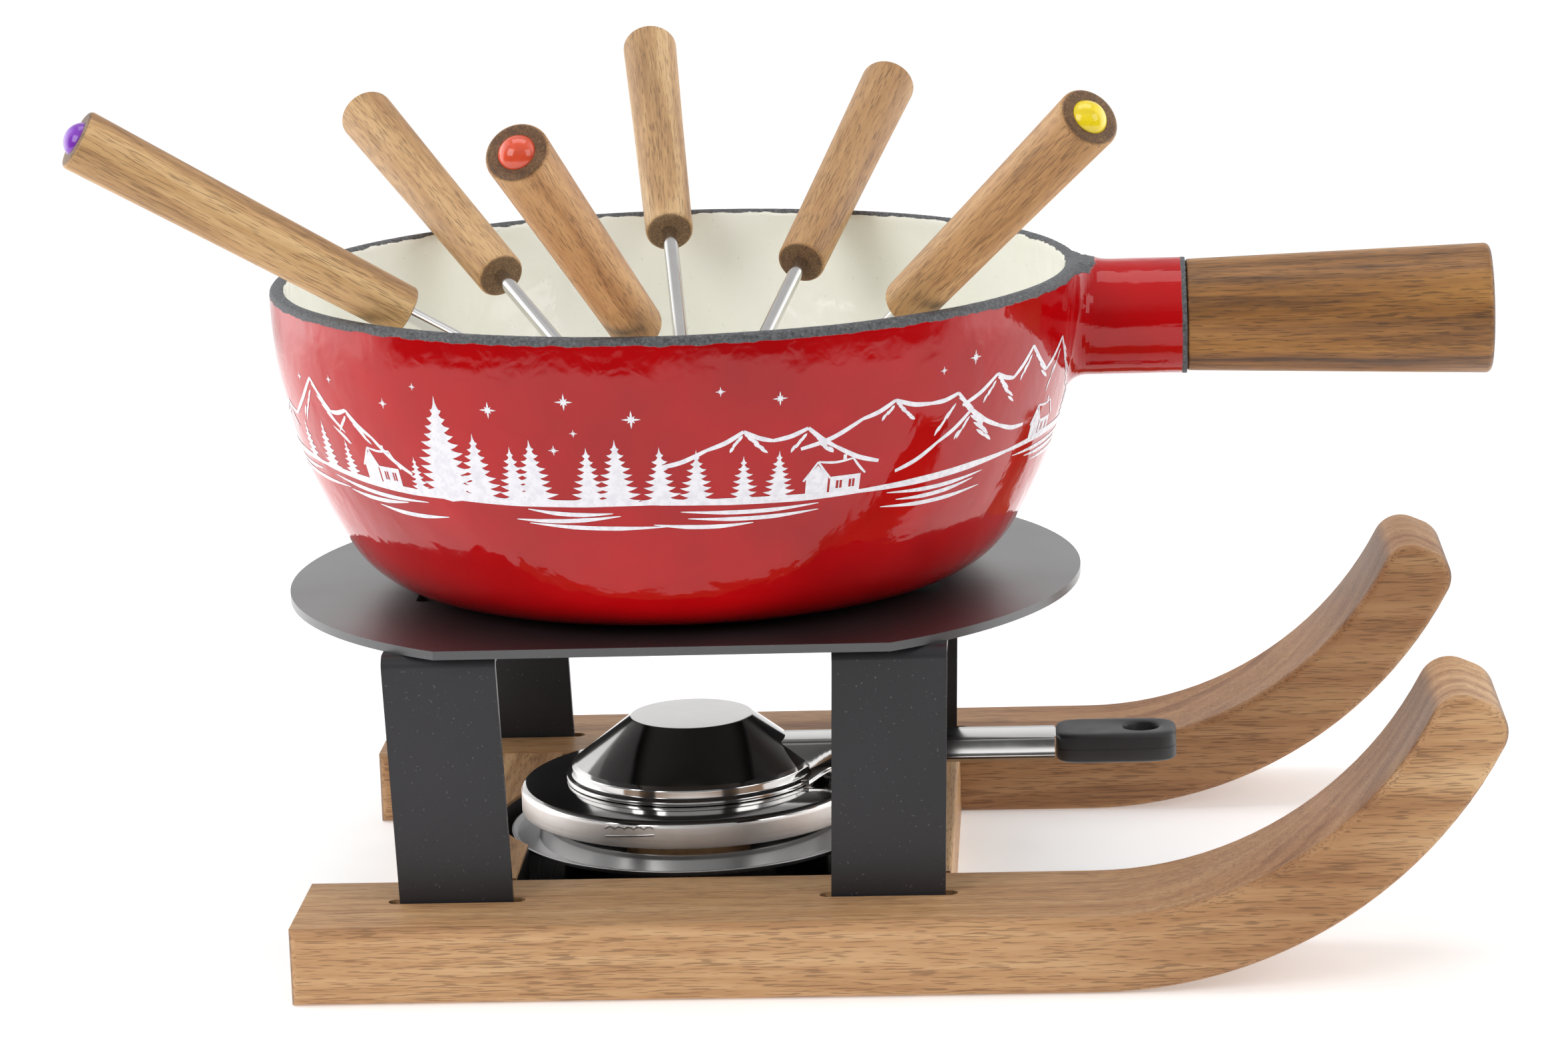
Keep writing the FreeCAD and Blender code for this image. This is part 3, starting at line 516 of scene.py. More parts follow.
def lathe(outline, turns=128):
    """Vertices and faces of a closed outline (radius, height) turned about Z."""
    vertices, rows = [], []
    for radius, height in outline:
        if radius < 1e-7:
            rows.append([len(vertices)] * turns)
            vertices.append((0, 0, height))
            continue
        rows.append(list(range(len(vertices), len(vertices) + turns)))
        vertices += [(radius * cos(a), radius * sin(a), height) for a in ring_angles(turns)]
    faces = []
    for a, b in zip(rows, rows[1:] + rows[:1]):
        if a[0] == a[-1] and b[0] == b[-1]:
            continue
        for k in range(turns):
            n = (k + 1) % turns
            ring = list(dict.fromkeys((a[k], a[n], b[n], b[k])))
            faces.append(ring)
    return vertices, faces


def joined(*parts):
    """Vertices and faces of several parts as one."""
    vertices, faces = [], []
    for some, sides in parts:
        start = len(vertices)
        vertices += [tuple(v) for v in some]
        faces += [[start + k for k in side] for side in sides]
    return vertices, faces


def loft(sections, closed=True, capped=True):
    """Skin over sections of equally many points."""
    count = len(sections[0])
    vertices = [point for section in sections for point in section]
    faces = []
    for row in range(len(sections) - 1):
        for k in range(count if closed else count - 1):
            n = (k + 1) % count
            a, b = row * count, (row + 1) * count
            faces.append((a + k, a + n, b + n, b + k))
    if capped:
        faces.append(tuple(reversed(range(count))))
        faces.append(tuple(range(len(vertices) - count, len(vertices))))
    return vertices, faces


def dress(material, *nodes):
    """Give CAD nodes a material."""
    for node in nodes:
        data = frame["nodes"][node].data
        data.materials.clear()
        data.materials.append(material)


# -------- sledge and stand


def make_sledge():
    """The runners, board and dowels keep their CAD shapes."""
    # Stretches along X over which each runner's colour darkens.
    front_dark_stretch, back_dark_stretch = (0.08, 0.18, 0.19, 0.23), (-0.3, 0.1, 0.3, 0.5)
    dress(wood("acacia_front", "X", 1.3, pith=(0, -0.16, 0.09), dark_stretch=front_dark_stretch, **HONEY), "runner_front")
    dress(wood("acacia_back", "X", 4.1, pith=(0, 0.02, 0.12), dark_stretch=back_dark_stretch, **HONEY), "runner_back")
    # Near-black painted shade in the board's recess and channel under the burner.
    painted_shade_well = (59.3 * MM, 47.3 * MM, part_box("base_board")[1].z - 1.0 * MM)
    dress(wood("acacia_board", "Y", 7.7, pith=(0.02, 0, -0.11), painted_shade_well=painted_shade_well, **HONEY), "base_board")
    dowels = [f"dowel_{side}_{end}" for side in ("front", "back") for end in ("tail", "nose")]
    dress(wood("dowel_beech", "Y", 2.2, size=0.6, **HONEY), *dowels)


def make_stand():
    """The plate and brackets keep their CAD shapes. The plate is the glossier."""
    dress(powder_coat("plate_powder_coat", sheen=0.85, gloss=0.6), "top_plate")
    dress(powder_coat("bracket_powder_coat", sheen=0.32, gloss=0.0), "bracket_right", "bracket_left")


# -------- pot

POT_LOW, POT_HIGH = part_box("pot_body")
RIM_RADIUS = -POT_LOW.x
RIM_TOP = POT_HIGH.z
FOOT_HIGH = 0.8 * MM
BASE = POT_LOW.z + FOOT_HIGH
BASE_RADIUS = 73.5 * MM
SHOULDER = (99.3 * MM, BASE + 14.6 * MM)
SIDE_TOP = RIM_TOP - 3 * MM
CORNER_ARC = 30 * MM
SIDE_ARC = 142 * MM
WALL = 4.5 * MM
RIM_ROUND = 2 * MM
STUB_RADIUS = 17.2 * MM
STUB_START = 90 * MM
STUB_HEIGHT = RIM_TOP - 17.7 * MM
STUB_END = POT_HIGH.x
WEB = 9 * MM
SWELL_DEEP = 0.22 * MM
VOXEL = 1.25 * MM


def bowl_side(inset, steps=24):
    """The bowl's wall from its flat base to the rim, at a depth inside the outer face."""
    out = (SHOULDER[0] - BASE_RADIUS) / CORNER_ARC
    down = sqrt(1 - out ** 2)
    knee = (SHOULDER[0] - inset * out, SHOULDER[1] + inset * down)
    corner = arc((BASE_RADIUS, BASE + inset), knee, CORNER_ARC - inset, steps)
    return corner + arc(knee, (RIM_RADIUS - inset, SIDE_TOP), SIDE_ARC - inset, steps)[1:]


OUTER = bowl_side(0)


def wall_radius(height):
    """The bowl's outer radius at a height."""
    return np.interp(height, [p[1] for p in OUTER], [p[0] for p in OUTER])


def swell(point):
    """How far the cast surface lies below its ideal face, here."""
    broad = noise.noise(Vector(point) * 34)
    fine = noise.noise(Vector(point) * 85 + Vector((5, 1, 3)))
    return SWELL_DEEP * (0.55 + 0.45 * broad + 0.15 * fine)


def distance_to_path(across, up, path):
    """Distance of points in the plane from an open run of segments."""
    best = np.full(across.shape, 1e9)
    for (ax, ay), (bx, by) in zip(path, path[1:]):
        dx, dy = bx - ax, by - ay
        t = np.clip(((across - ax) * dx + (up - ay) * dy) / (dx * dx + dy * dy), 0, 1)
        best = np.minimum(best, np.hypot(across - ax - t * dx, up - ay - t * dy))
    return best


def inside_path(across, up, path):
    """Whether points are between the axis and the side of a solid turned from path."""
    heights = [p[1] for p in path]
    widths = [p[0] for p in path]
    return (up > heights[0]) & (up < heights[-1]) & (across < np.interp(up, heights, widths))


def pot_field(points):
    """Signed distance to the pot: bowl and stub melt together, and the bowl is hollow."""
    x, y, z = points.T
    across = np.hypot(x, y)
    rim = [(RIM_RADIUS - RIM_ROUND + RIM_ROUND * sin(t), RIM_TOP - RIM_ROUND + RIM_ROUND * cos(t))
           for t in np.linspace(pi / 2, 0, 6)]
    solid = [(0, BASE)] + OUTER[:-1] + rim + [(0, RIM_TOP)]
    shell = distance_to_path(across, z, solid)
    side = solid[1:-1]
    bowl = np.where(inside_path(across, z, side), -shell, shell)
    tube = np.hypot(y, z - STUB_HEIGHT) - STUB_RADIUS
    stub = np.maximum(tube, np.maximum(x - STUB_END, STUB_START - x))
    above = np.clip((z - STUB_HEIGHT) / STUB_RADIUS, -1, 1)
    melt = WEB * (0.78 + 0.22 * above)
    share = np.clip(0.5 + 0.5 * (stub - bowl) / melt, 0, 1)
    both = stub + (bowl - stub) * share - melt * share * (1 - share)
    both = np.maximum(both, z - RIM_TOP)
    lip = [(RIM_RADIUS - WALL + RIM_ROUND - RIM_ROUND * cos(t), RIM_TOP - RIM_ROUND + RIM_ROUND * sin(t))
           for t in np.linspace(0, pi / 2, 6)]
    hollow_side = bowl_side(WALL)[:-1] + lip
    hollow = [(0, BASE + WALL)] + hollow_side
    gap = distance_to_path(across, z, hollow)
    cavity = np.where(inside_path(across, z, hollow_side + [(hollow_side[-1][0], 1.0)]), -gap, gap)
    return np.maximum(both, -cavity)


def settle(points, rounds=3):
    """Move points onto the pot's surface."""
    nudge, stride = 0.05 * MM, 2 * MM
    for _ in range(rounds):
        here = pot_field(points)
        slope = np.stack([pot_field(points + nudge * np.eye(3)[k]) - here for k in range(3)], axis=1) / nudge
        size = np.maximum((slope ** 2).sum(axis=1), 0.25)
        points = points - np.clip(here / size, -stride, stride)[:, None] * slope
    return points


def stub_tube(turns=48):
    """A plain tube from inside the bowl's wall to the stub's end."""
    return loft([[(x, STUB_RADIUS * cos(a), STUB_HEIGHT + STUB_RADIUS * sin(a))
                  for a in ring_angles(turns)] for x in (RIM_RADIUS - 0.6 * WALL, STUB_END)])


def read_triples(items, field):
    """A field of a mesh's items, as rows of three."""
    flat = np.empty(len(items) * 3, np.float32)
    items.foreach_get(field, flat)
    return flat.reshape(-1, 3)


def move_vertices(mesh, points):
    mesh.vertices.foreach_set("co", points.astype(np.float32).ravel())
    mesh.update()


def make_pot():
    """The cast body: rough solids are remeshed, settled onto the pot's surface, and dented a little."""
    rough_shape = lathe([(0, BASE)] + OUTER + [(RIM_RADIUS, RIM_TOP), (RIM_RADIUS - WALL, RIM_TOP)]
                        + list(reversed(bowl_side(WALL))) + [(0, BASE + WALL)], 192)
    vertices, faces = joined(rough_shape, stub_tube())
    cast = make("pot_enamelled", vertices, faces, [], "pot", "enamel", ["pot_body"])
    turn_outwards(cast.data)
    cast.data.remesh_voxel_size = VOXEL
    bpy.context.view_layer.objects.active = cast
    cast.select_set(True)
    bpy.ops.object.voxel_remesh()
    mesh = cast.data
    points = settle(read_triples(mesh.vertices, "co").astype(float))
    move_vertices(mesh, points)
    dips = np.array([swell(p) for p in points])
    move_vertices(mesh, points - dips[:, None] * read_triples(mesh.vertices, "normal"))
    paint_pot(mesh)
    mesh.shade_smooth()
    make_foot_ring(mesh.materials[2])


def paint_pot(mesh):
    """Red outside, cream inside, black underneath."""
    red = enamel("enamel_red", srgb(163, 3, 8), srgb(188, 5, 11), bare_from=RIM_TOP - 2.4 * MM,
                 stub_end=STUB_END, bare_to=RIM_RADIUS + 4.5 * MM)
    cream = enamel("enamel_cream", srgb(244, 244, 233), srgb(250, 250, 243), bare_from=RIM_TOP - 1.0 * MM)
    for material in (red, cream, base_black()):
        mesh.materials.append(material)
    x, y, z = read_triples(mesh.polygons, "center").T
    across = np.hypot(x, y)
    inner = (across < wall_radius(z) - WALL / 2) & (z > BASE + WALL / 2)
    under = (z < BASE + 0.6 * MM) & (across < BASE_RADIUS)
    mesh.polygons.foreach_set("material_index", np.where(under, 2, inner).astype(np.int32))


def make_foot_ring(black):
    """The ground ring that the pot stands on."""
    inner, outer = 64 * MM, 71 * MM
    low, high = POT_LOW.z, BASE + 0.6 * MM
    outline = rounded([(inner, low, 0.3 * MM), (outer, low, 0.3 * MM), (outer, high), (inner, high)], 3)
    make("pot_foot_ring", *lathe(outline, 160), [black], "pot", "enamel")


def along_handle(start):
    """Turns a lathed piece from Z to X, with its foot at start on the handle's axis."""
    return Matrix.Translation((start, 0, STUB_HEIGHT)) @ Matrix.Rotation(radians(90), 4, "Y")


def make_grip():
    """The pot's wooden grip, a little flared, with its bolt's counterbore."""
    low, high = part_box("pot_grip")
    long = high.x - low.x
    near, far = 16.4 * MM, (high.z - low.z) / 2
    bore, head, sunk = 3.1 * MM, 6.3 * MM, 8 * MM
    outline = rounded([
        (bore, 0), (near, 0, 0.9 * MM), (far, long, 1.8 * MM), (head, long, 0.5 * MM),
        (head, long - sunk), (bore, long - sunk),
    ], 6)
    spread = []
    for (r0, z0), (r1, z1) in zip(outline, outline[1:] + outline[:1]):
        cuts = 24 if abs(z1 - z0) > 0.05 else 1
        spread += [(r0 + (r1 - r0) * k / cuts, z0 + (z1 - z0) * k / cuts) for k in range(cuts)]
    material = wood("acacia_grip", "Z", 3.7, pith=(0.03, 0.045, 0), rough=0.42, contrast=1.3, **RUSSET)
    make("pot_grip_turned", *lathe(spread, 128), [material], "pot", "acacia_grip", ["pot_grip"],
         along_handle(low.x))


def make_bolt():
    """A round-headed bolt with a round socket, sunk in the grip's end."""
    low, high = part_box("grip_bolt")
    head, shank = (high.z - low.z) / 2, 3.0 * MM
    top = high.x - low.x
    seat = top - 4.64 * MM
    socket, deep = 2.4 * MM, 2.6 * MM
    outline = [(0, 0), (shank, 0), (shank, seat)] + rounded([
        (head, seat, 0.2 * MM), (head, top, 1.4 * MM), (socket, top, 0.2 * MM), (socket, top - deep)], 5)
    outline.append((0, top - deep))
    material = steel("bolt_zinc", 0.22, 0.4)
    make("grip_bolt_head", *lathe(outline, 48), [material], "pot", "bolt_steel", ["grip_bolt"],
         along_handle(low.x))


# -------- printed picture

PRINT_LIFT = 0.07 * MM
GROUND = 141.5 * MM


def on_bowl(turn, height, lift=PRINT_LIFT):
    """The place on the bowl at an angle from the front, towards the handle, and a height."""
    radius = float(wall_radius(height))
    slope = (float(wall_radius(height + MM)) - radius) / MM
    out = Vector((sin(turn), -cos(turn), 0))
    face = out * radius + Vector((0, 0, height))
    normal = (out - Vector((0, 0, slope))).normalized()
    return face + normal * (lift - swell(face))


class Picture:
    """White shapes, drawn with x as arc length round the bowl in metres and y as height."""

    GIRTH = 112 * MM

    def __init__(self):
        self.vertices, self.faces = [], []
        self.layer = 0

    def ribbon(self, left, right):
        """A strip between two lines of equally many points, cut fine enough to follow the bowl."""
        self.layer += 1
        lift = PRINT_LIFT + (self.layer % 7) * 0.004 * MM
        start = len(self.vertices)
        for (ax, ay), (bx, by) in zip(left, right):
            for x, y in ((ax, ay), (bx, by)):
                self.vertices.append(on_bowl(x / self.GIRTH, y, lift))
        for k in range(len(left) - 1):
            a = start + 2 * k
            self.faces.append((a, a + 1, a + 3, a + 2))

    def stroke(self, points, width, taper=(0.15, 0.15), steps=10):
        """A brush line through points; its ends thin out to these shares of its width."""
        line = smooth_line(points, steps)
        left, right = [], []
        for k, (x, y) in enumerate(line):
            before, after = line[max(k - 1, 0)], line[min(k + 1, len(line) - 1)]
            way = Vector((after[0] - before[0], after[1] - before[1])).normalized()
            t = k / (len(line) - 1)
            fade = taper[0] + (1 - taper[0]) * min(1.0, t * 3)
            fade *= taper[1] + (1 - taper[1]) * min(1.0, (1 - t) * 3)
            half = width * fade / 2
            left.append((x - way.y * half, y + way.x * half))
            right.append((x + way.y * half, y - way.x * half))
        self.ribbon(left, right)

    def fir(self, x, y, high, dice):
        """A fir of drooping boughs with upturned tips, broader towards the foot."""
        rows = 5 + int(high / (4.5 * MM))
        for k in range(rows):
            t = k / (rows - 1)
            level = y + high * (0.86 - 0.80 * t)
            for side in (-1, 1):
                reach = side * high * (0.06 + 0.29 * t ** 0.85) * dice.uniform(0.86, 1.12)
                drop = high * (0.05 + 0.03 * t)
                tip = (x + reach, level)
                upper = smooth_line([(x, level + drop * 2.0), (x + reach * 0.5, level + drop * 0.35), tip], 4)
                lower = smooth_line([(x, level - drop * 1.2), (x + reach * 0.6, level - drop * 0.75), tip], 4)
                self.ribbon(upper, lower)
        trunk = [(x, y + high), (x - high * 0.022, y + high * 0.86), (x - high * 0.04, y)]
        self.ribbon(trunk, [(2 * x - px, py) for px, py in trunk])

    def star(self, x, y, size):
        """A star of four long and four short thin rays."""
        for k in range(4):
            angle = pi * k / 4
            reach = size * (1.0 if k % 2 == 0 else 0.55)
            ray = Vector((cos(angle), sin(angle))) * reach
            self.stroke([(x - ray.x, y - ray.y), (x, y), (x + ray.x, y + ray.y)], size * 0.26, (0.0, 0.0), 2)

    def ridge(self, points, width, dice):
        """A mountain's outline, with slanting strokes down both sides of its peaks."""
        self.sharp_line(points, width)
        for (_, before), (x, y), (_, after) in zip(points, points[1:], points[2:]):
            if y <= before or y <= after:
                continue
            fall = max(y - min(before, after), 5 * MM)
            for n in range(6):
                start = (x + fall * (0.03 + 0.17 * n), y - fall * (0.14 + 0.19 * n) * dice.uniform(0.9, 1.1))
                slant = fall * dice.uniform(0.34, 0.62)
                self.hatch(start, slant, (0.5, 1), (0.28, 0.62), width * dice.uniform(0.6, 0.8))
            for n in range(4):
                start = (x - fall * (0.06 + 0.15 * n), y - fall * (0.26 + 0.17 * n) * dice.uniform(0.9, 1.1))
                slant = fall * dice.uniform(0.24, 0.42)
                self.hatch(start, slant, (-0.4, -0.7), (0.45, 1), width * 0.66)

    def hatch(self, start, slant, across, down, width):
        """A short stroke from start, through two points at shares of slant across and down."""
        x, y = start
        self.stroke([start] + [(x + slant * a, y - slant * d) for a, d in zip(across, down)], width)

    def sharp_line(self, points, width):
        for (ax, ay), (bx, by) in zip(points, points[1:]):
            bend = 0.06 * (bx - ax)
            self.stroke([(ax, ay), ((ax + bx) / 2, (ay + by) / 2 - abs(bend)), (bx, by)], width, (0.7, 0.7))

    def hut(self, x, y, wide, high):
        """A hut seen from its corner: two walls, one with windows, a snowy roof in outline and a chimney."""
        roof, eave, line = y + high, y + high * 0.52, 0.7 * MM
        peak, corner, below = x + wide * 0.19, x + wide * 0.38, eave - high * 0.06
        self.block(x, corner, y, eave, ())
        self.ribbon([(x, eave), (peak, roof - high * 0.1), (corner, eave)],
                    [(x, eave), (peak, eave), (corner, eave)])
        self.block(x + wide * 0.42, x + wide * 0.96, y, eave, ((0.2, 0.4), (0.62, 0.82)))
        self.sharp_line([(x - wide * 0.05, below), (peak, roof), (x + wide * 0.43, below)], line)
        self.sharp_line([(peak, roof), (x + wide * 0.8, roof), (x + wide * 1.04, eave)], line)
        self.block(x + wide * 0.62, x + wide * 0.68, roof, roof + high * 0.14, ())

    def block(self, left, right, low, high, windows):
        """A wall, with windows left open between shares of its width."""
        cuts = [0.0] + [share for window in windows for share in window] + [1.0]
        sill, top = low + (high - low) * 0.3, low + (high - low) * 0.75
        for k, (a, b) in enumerate(zip(cuts, cuts[1:])):
            ax, bx = left + (right - left) * a, left + (right - left) * b
            pieces = [(low, high)] if k % 2 == 0 else [(low, sill), (top, high)]
            for bottom, upper in pieces:
                self.ribbon(*([(ax, y), (bx, y)] for y in (upper, bottom)))
            if k % 2:
                middle, bar = (ax + bx) / 2, (bx - ax) * 0.08
                self.ribbon(*([(middle - bar, y), (middle + bar, y)] for y in (top, sill)))


def smooth_line(points, steps):
    """A Catmull-Rom line through points."""
    if len(points) == 2:
        (ax, ay), (bx, by) = points
        return [(ax + (bx - ax) * k / steps, ay + (by - ay) * k / steps) for k in range(steps + 1)]
    ends = [points[0]] + list(points) + [points[-1]]
    line = []
    for a, b, c, d in zip(ends, ends[1:], ends[2:], ends[3:]):
        for k in range(steps):
            t = k / steps
            line.append(tuple(
                0.5 * (2 * b[i] + (c[i] - a[i]) * t + (2 * a[i] - 5 * b[i] + 4 * c[i] - d[i]) * t * t
                       + (3 * b[i] - a[i] - 3 * c[i] + d[i]) * t ** 3) for i in (0, 1)))
    return line + [tuple(points[-1])]


def ground(x):
    """Height of the snow line round the bowl."""
    turn = x / Picture.GIRTH
    return GROUND + (1.6 * cos(2.0 * turn + 2.9) + 0.8 * cos(5.0 * turn)) * MM


# Peaks by angle from the front in degrees and height over the snow in millimetres.
RANGES = (
    ((-78, 9), (-72, 14), (-67, 12), (-58, 26), (-53, 18), (-49, 20), (-44, 14), (-37, 5)),
    ((1, 10), (8, 15), (13, 20), (17, 17), (22, 20), (26, 14), (33, 8)),
    ((21, 14), (30, 21), (35, 25), (41, 22), (46, 23), (52, 12)),
    ((47, 19), (54, 25), (58, 22), (63, 29), (68, 20), (74, 27), (80, 14)),
    ((36, 4), (43, 10), (49, 17), (56, 9), (63, 6)),
    ((104, 8), (112, 20), (118, 15), (127, 26), (136, 14), (146, 7)),
    ((150, 6), (160, 17), (167, 24), (174, 16), (186, 7)),
    ((206, 7), (216, 22), (222, 17), (229, 25), (238, 13), (250, 6)),
    ((226, 4), (234, 12), (241, 17), (250, 8), (258, 5)),
)
FIRS = (
    (-64, 11), (-57, 13), (-51, 10), (-36, 10), (-30.5, 27), (-25, 18), (-19.5, 15), (-16.5, 17),
    (-8.5, 15), (-4.5, 17), (1.5, 15), (6.5, 14), (13, 12), (18, 13), (84, 14), (89, 20), (94, 16),
    (122, 13), (127, 17), (150, 15), (154, 12), (178, 18), (183, 25), (188, 16), (200, 13), (205, 17),
    (230, 12), (246, 16), (251, 21), (256, 14), (268, 17), (274, 12),
)
HUTS = ((-47, 15, 10.5), (22, 17, 10), (66, 15, 10), (136, 17, 11), (212, 16, 10), (262, 15, 10))
STARS = (
    (-62, 168, 1.1), (-52, 170, 1.0), (-40, 166, 1.3), (-34, 172, 0.9), (-22, 167, 1.9), (-11, 170, 1.9),
    (-13, 156, 1.2), (-10, 161, 0.9), (-2, 165, 2.0), (10, 172, 1.1), (18, 169, 1.6), (43, 171, 1.0),
    (49, 173, 1.7), (88, 168, 1.6), (97, 172, 1.1), (104, 166, 1.4), (142, 169, 1.8), (150, 173, 1.0),
    (157, 167, 1.2), (178, 171, 1.5), (192, 166, 1.8), (199, 172, 1.1), (207, 169, 1.4), (243, 170, 1.7),
    (256, 167, 1.2), (264, 172, 1.5), (275, 168, 1.1),
)


def make_print():
    """A winter landscape of the builder's own: peaks, firs, huts and stars above lines of snow."""
    art = Picture()
    dice = random.Random(11)

    def along(angle):
        return radians(angle) * Picture.GIRTH

    for peaks in RANGES:
        points = [(along(a), ground(along(a)) + high * MM) for a, high in peaks]
        art.ridge(points, 1.3 * MM, dice)
    for angle, high in FIRS:
        art.fir(along(angle), ground(along(angle)) - 0.5 * MM, 1.12 * high * MM, dice)
    for angle, wide, high in HUTS:
        art.hut(along(angle), ground(along(angle)) - 0.3 * MM, wide * MM, high * MM)
    for angle, level, size in STARS:
        art.star(along(angle), level * MM, 1.3 * size * MM)
    make_snow(art, dice)
    make("pot_picture", art.vertices, art.faces, [print_white()], "pot", "enamel", angle=180)


def make_snow(art, dice):
    """Long brush lines of snow along the ground, and drifts below it."""
    runs = 12
    long = 2 * pi * Picture.GIRTH / runs
    for k in range(runs):
        start = long * k
        reach = long * dice.uniform(1.02, 1.12)
        line = [(start + reach * t, ground(start + reach * t) - 0.4 * MM) for t in (0, 0.25, 0.5, 0.75, 1)]
        art.stroke(line, 2.1 * MM, (0.5, 0.4))
        for drift in (2.8, 4.8, 7.0):
            shift = dice.uniform(0.0, 0.45) * long
            span = long * dice.uniform(0.4, 0.8)
            slope = dice.uniform(-1.5, 1.5) * MM
            low = [(start + shift + span * t, ground(start + shift + span * t) - drift * MM
                    + slope * (t - 0.5) - 0.9 * MM * sin(pi * t)) for t in (0, 0.33, 0.66, 1)]
            art.stroke(low, 1.25 * MM)


# -------- forks

TANG_END = 190.9 * MM
TANG_RADIUS = 1.9 * MM
ROD_RADIUS = 2.3 * MM
HANDLE_LOW, HANDLE_TOP = 147 * MM, 252 * MM

# Each fork's dot, its colour, and the tint of its handle's timber.
FORKS = (
    ("dot_purple", srgb(138, 60, 196), (1.22, 1.32, 1.30)),
    ("dot_green", srgb(58, 150, 62), (1.12, 1.18, 1.20)),
    ("dot_orange_red", srgb(228, 84, 52), (0.95, 0.87, 0.74)),
    ("dot_blue", srgb(34, 96, 190), (1.12, 1.22, 1.28)),
    ("dot_white", srgb(236, 234, 228), (0.90, 0.88, 0.82)),
    ("dot_yellow", srgb(250, 222, 28), (1.05, 1.04, 0.94)),
)


def fork_place(index):
    """A fork's own frame: points at its origin, Z up its length. The rod's box ends at the tang's end."""
    axis = AXES[f"fork_{index}"]
    low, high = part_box(f"fork_{index}_rod")
    end = Vector()
    for k in range(3):
        far = high[k] if axis[k] > 0 else low[k]
        end[k] = far - copysign(TANG_RADIUS * sqrt(1 - axis[k] ** 2), axis[k])
    across = Vector((-axis.y, axis.x, 0)).normalized()
    lean = Matrix((across.cross(axis), across, axis)).transposed()
    return Matrix.Translation(end - axis * TANG_END) @ lean.to_4x4()


def ring_section(level, wide, thick, power=2.0, count=24, middle=0.0):
    """A rounded section: an ellipse at power 2, squarer above."""
    points = []
    for angle in ring_angles(count):
        c, s = cos(angle), sin(angle)
        points.append((thick * copysign(abs(c) ** (2 / power), c),
                       middle + wide * copysign(abs(s) ** (2 / power), s), level))
    return points


def fork_rod_shape():
    """Round rod that flattens into a shoulder, and two barbed prongs."""
    rod = [ring_section(level, TANG_RADIUS, TANG_RADIUS) for level in (TANG_END, HANDLE_LOW)]
    for level in (HANDLE_LOW - 0.1 * MM, 120 * MM, 90 * MM, 60 * MM, 44 * MM):
        rod.append(ring_section(level, ROD_RADIUS, ROD_RADIUS))
    for level, wide, thick, power in ((40, 2.35, 2.1, 2.1), (36, 2.6, 1.5, 2.6), (32, 3.2, 1.0, 3.4),
                                      (28, 3.8, 0.8, 4.5), (24, 4.0, 0.8, 6), (22.6, 4.0, 0.8, 6)):
        rod.append(ring_section(level * MM, wide * MM, thick * MM, power))
    prongs = []
    for side in (-1, 1):
        levels = ((24.2, 3.1, 0.9), (22, 3.15, 0.85), (14, 3.15, 0.85), (7.4, 3.15, 0.85), (6.6, 3.4, 1.1),
                  (5.8, 3.55, 1.05), (3, 3.4, 0.62), (1.0, 3.25, 0.25), (0.1, 3.2, 0.08))
        prongs.append(loft([ring_section(level * MM, half * MM, 0.8 * MM * min(1, half / 0.6), 4,
                                         middle=side * middle * MM) for level, middle, half in levels]))
    return joined(loft(list(reversed(rod))), *prongs)


def fork_handle_shape():
    """Turned handle, a little barrelled, open where the tang enters and sunk at its top for the dot."""
    low_radius, top_radius = 7.4 * MM, 8.7 * MM
    bore, seat, dot_seat = 2.0 * MM, 2.0 * MM, 5.05 * MM
    side = []
    for k in range(25):
        t = k / 24
        belly = 0.10 * MM * sin(pi * t)
        side.append((low_radius + (top_radius - low_radius) * t - belly, HANDLE_LOW + 1.4 * MM
                     + (HANDLE_TOP - HANDLE_LOW - 2.8 * MM) * t))
    lower = arc((low_radius - 1.4 * MM, HANDLE_LOW), side[0], 1.4 * MM, 6)[:-1]
    upper = arc(side[-1], (top_radius - 1.4 * MM, HANDLE_TOP), 1.4 * MM, 6)[1:]
    outline = [(0, HANDLE_LOW + 44 * MM), (bore, HANDLE_LOW + 44 * MM), (bore, HANDLE_LOW)] + lower + side
    outline += upper + [(dot_seat, HANDLE_TOP), (dot_seat, HANDLE_TOP - seat), (0, HANDLE_TOP - seat)]
    return lathe(outline, 72)


def dot_shape():
    """A button with a domed top."""
    radius, rise, seat = 5.0 * MM, 3.2 * MM, 2.0 * MM
    curve = (radius ** 2 + rise ** 2) / (2 * rise)
    dome = arc((radius, HANDLE_TOP), (0, HANDLE_TOP + rise), curve, 14)[:-1]
    return lathe([(0, HANDLE_TOP - seat), (radius, HANDLE_TOP - seat)] + dome + [(0, HANDLE_TOP + rise)], 56)


def make_forks():
    chrome = steel("fork_polish", 0.09, tint=(0.70, 0.69, 0.68))
    for index, (slot, colour, tint) in enumerate(FORKS, 1):
        place, body = fork_place(index), f"fork_{index}"
        palette = {key: tuple(a * b for a, b in zip(tone, tint)) for key, tone in TAWNY.items()}
        timber = wood(f"acacia_fork_{index}", "Z", index * 2.37, pith=(0.02, 0.03 - 0.01 * index, 0),
                      size=0.85, rough=0.5, **palette)
        name = f"fork_{index}_"
        make(name + "steel", *fork_rod_shape(), [chrome], body, "fork_steel", [name + "rod"], place)
        make(name + "grip", *fork_handle_shape(), [timber], body, "acacia_fork", [name + "handle"], place)
        make(name + "button", *dot_shape(), [gloss_plastic(slot, colour)], body, slot, [name + "dot"], place)


# -------- burner


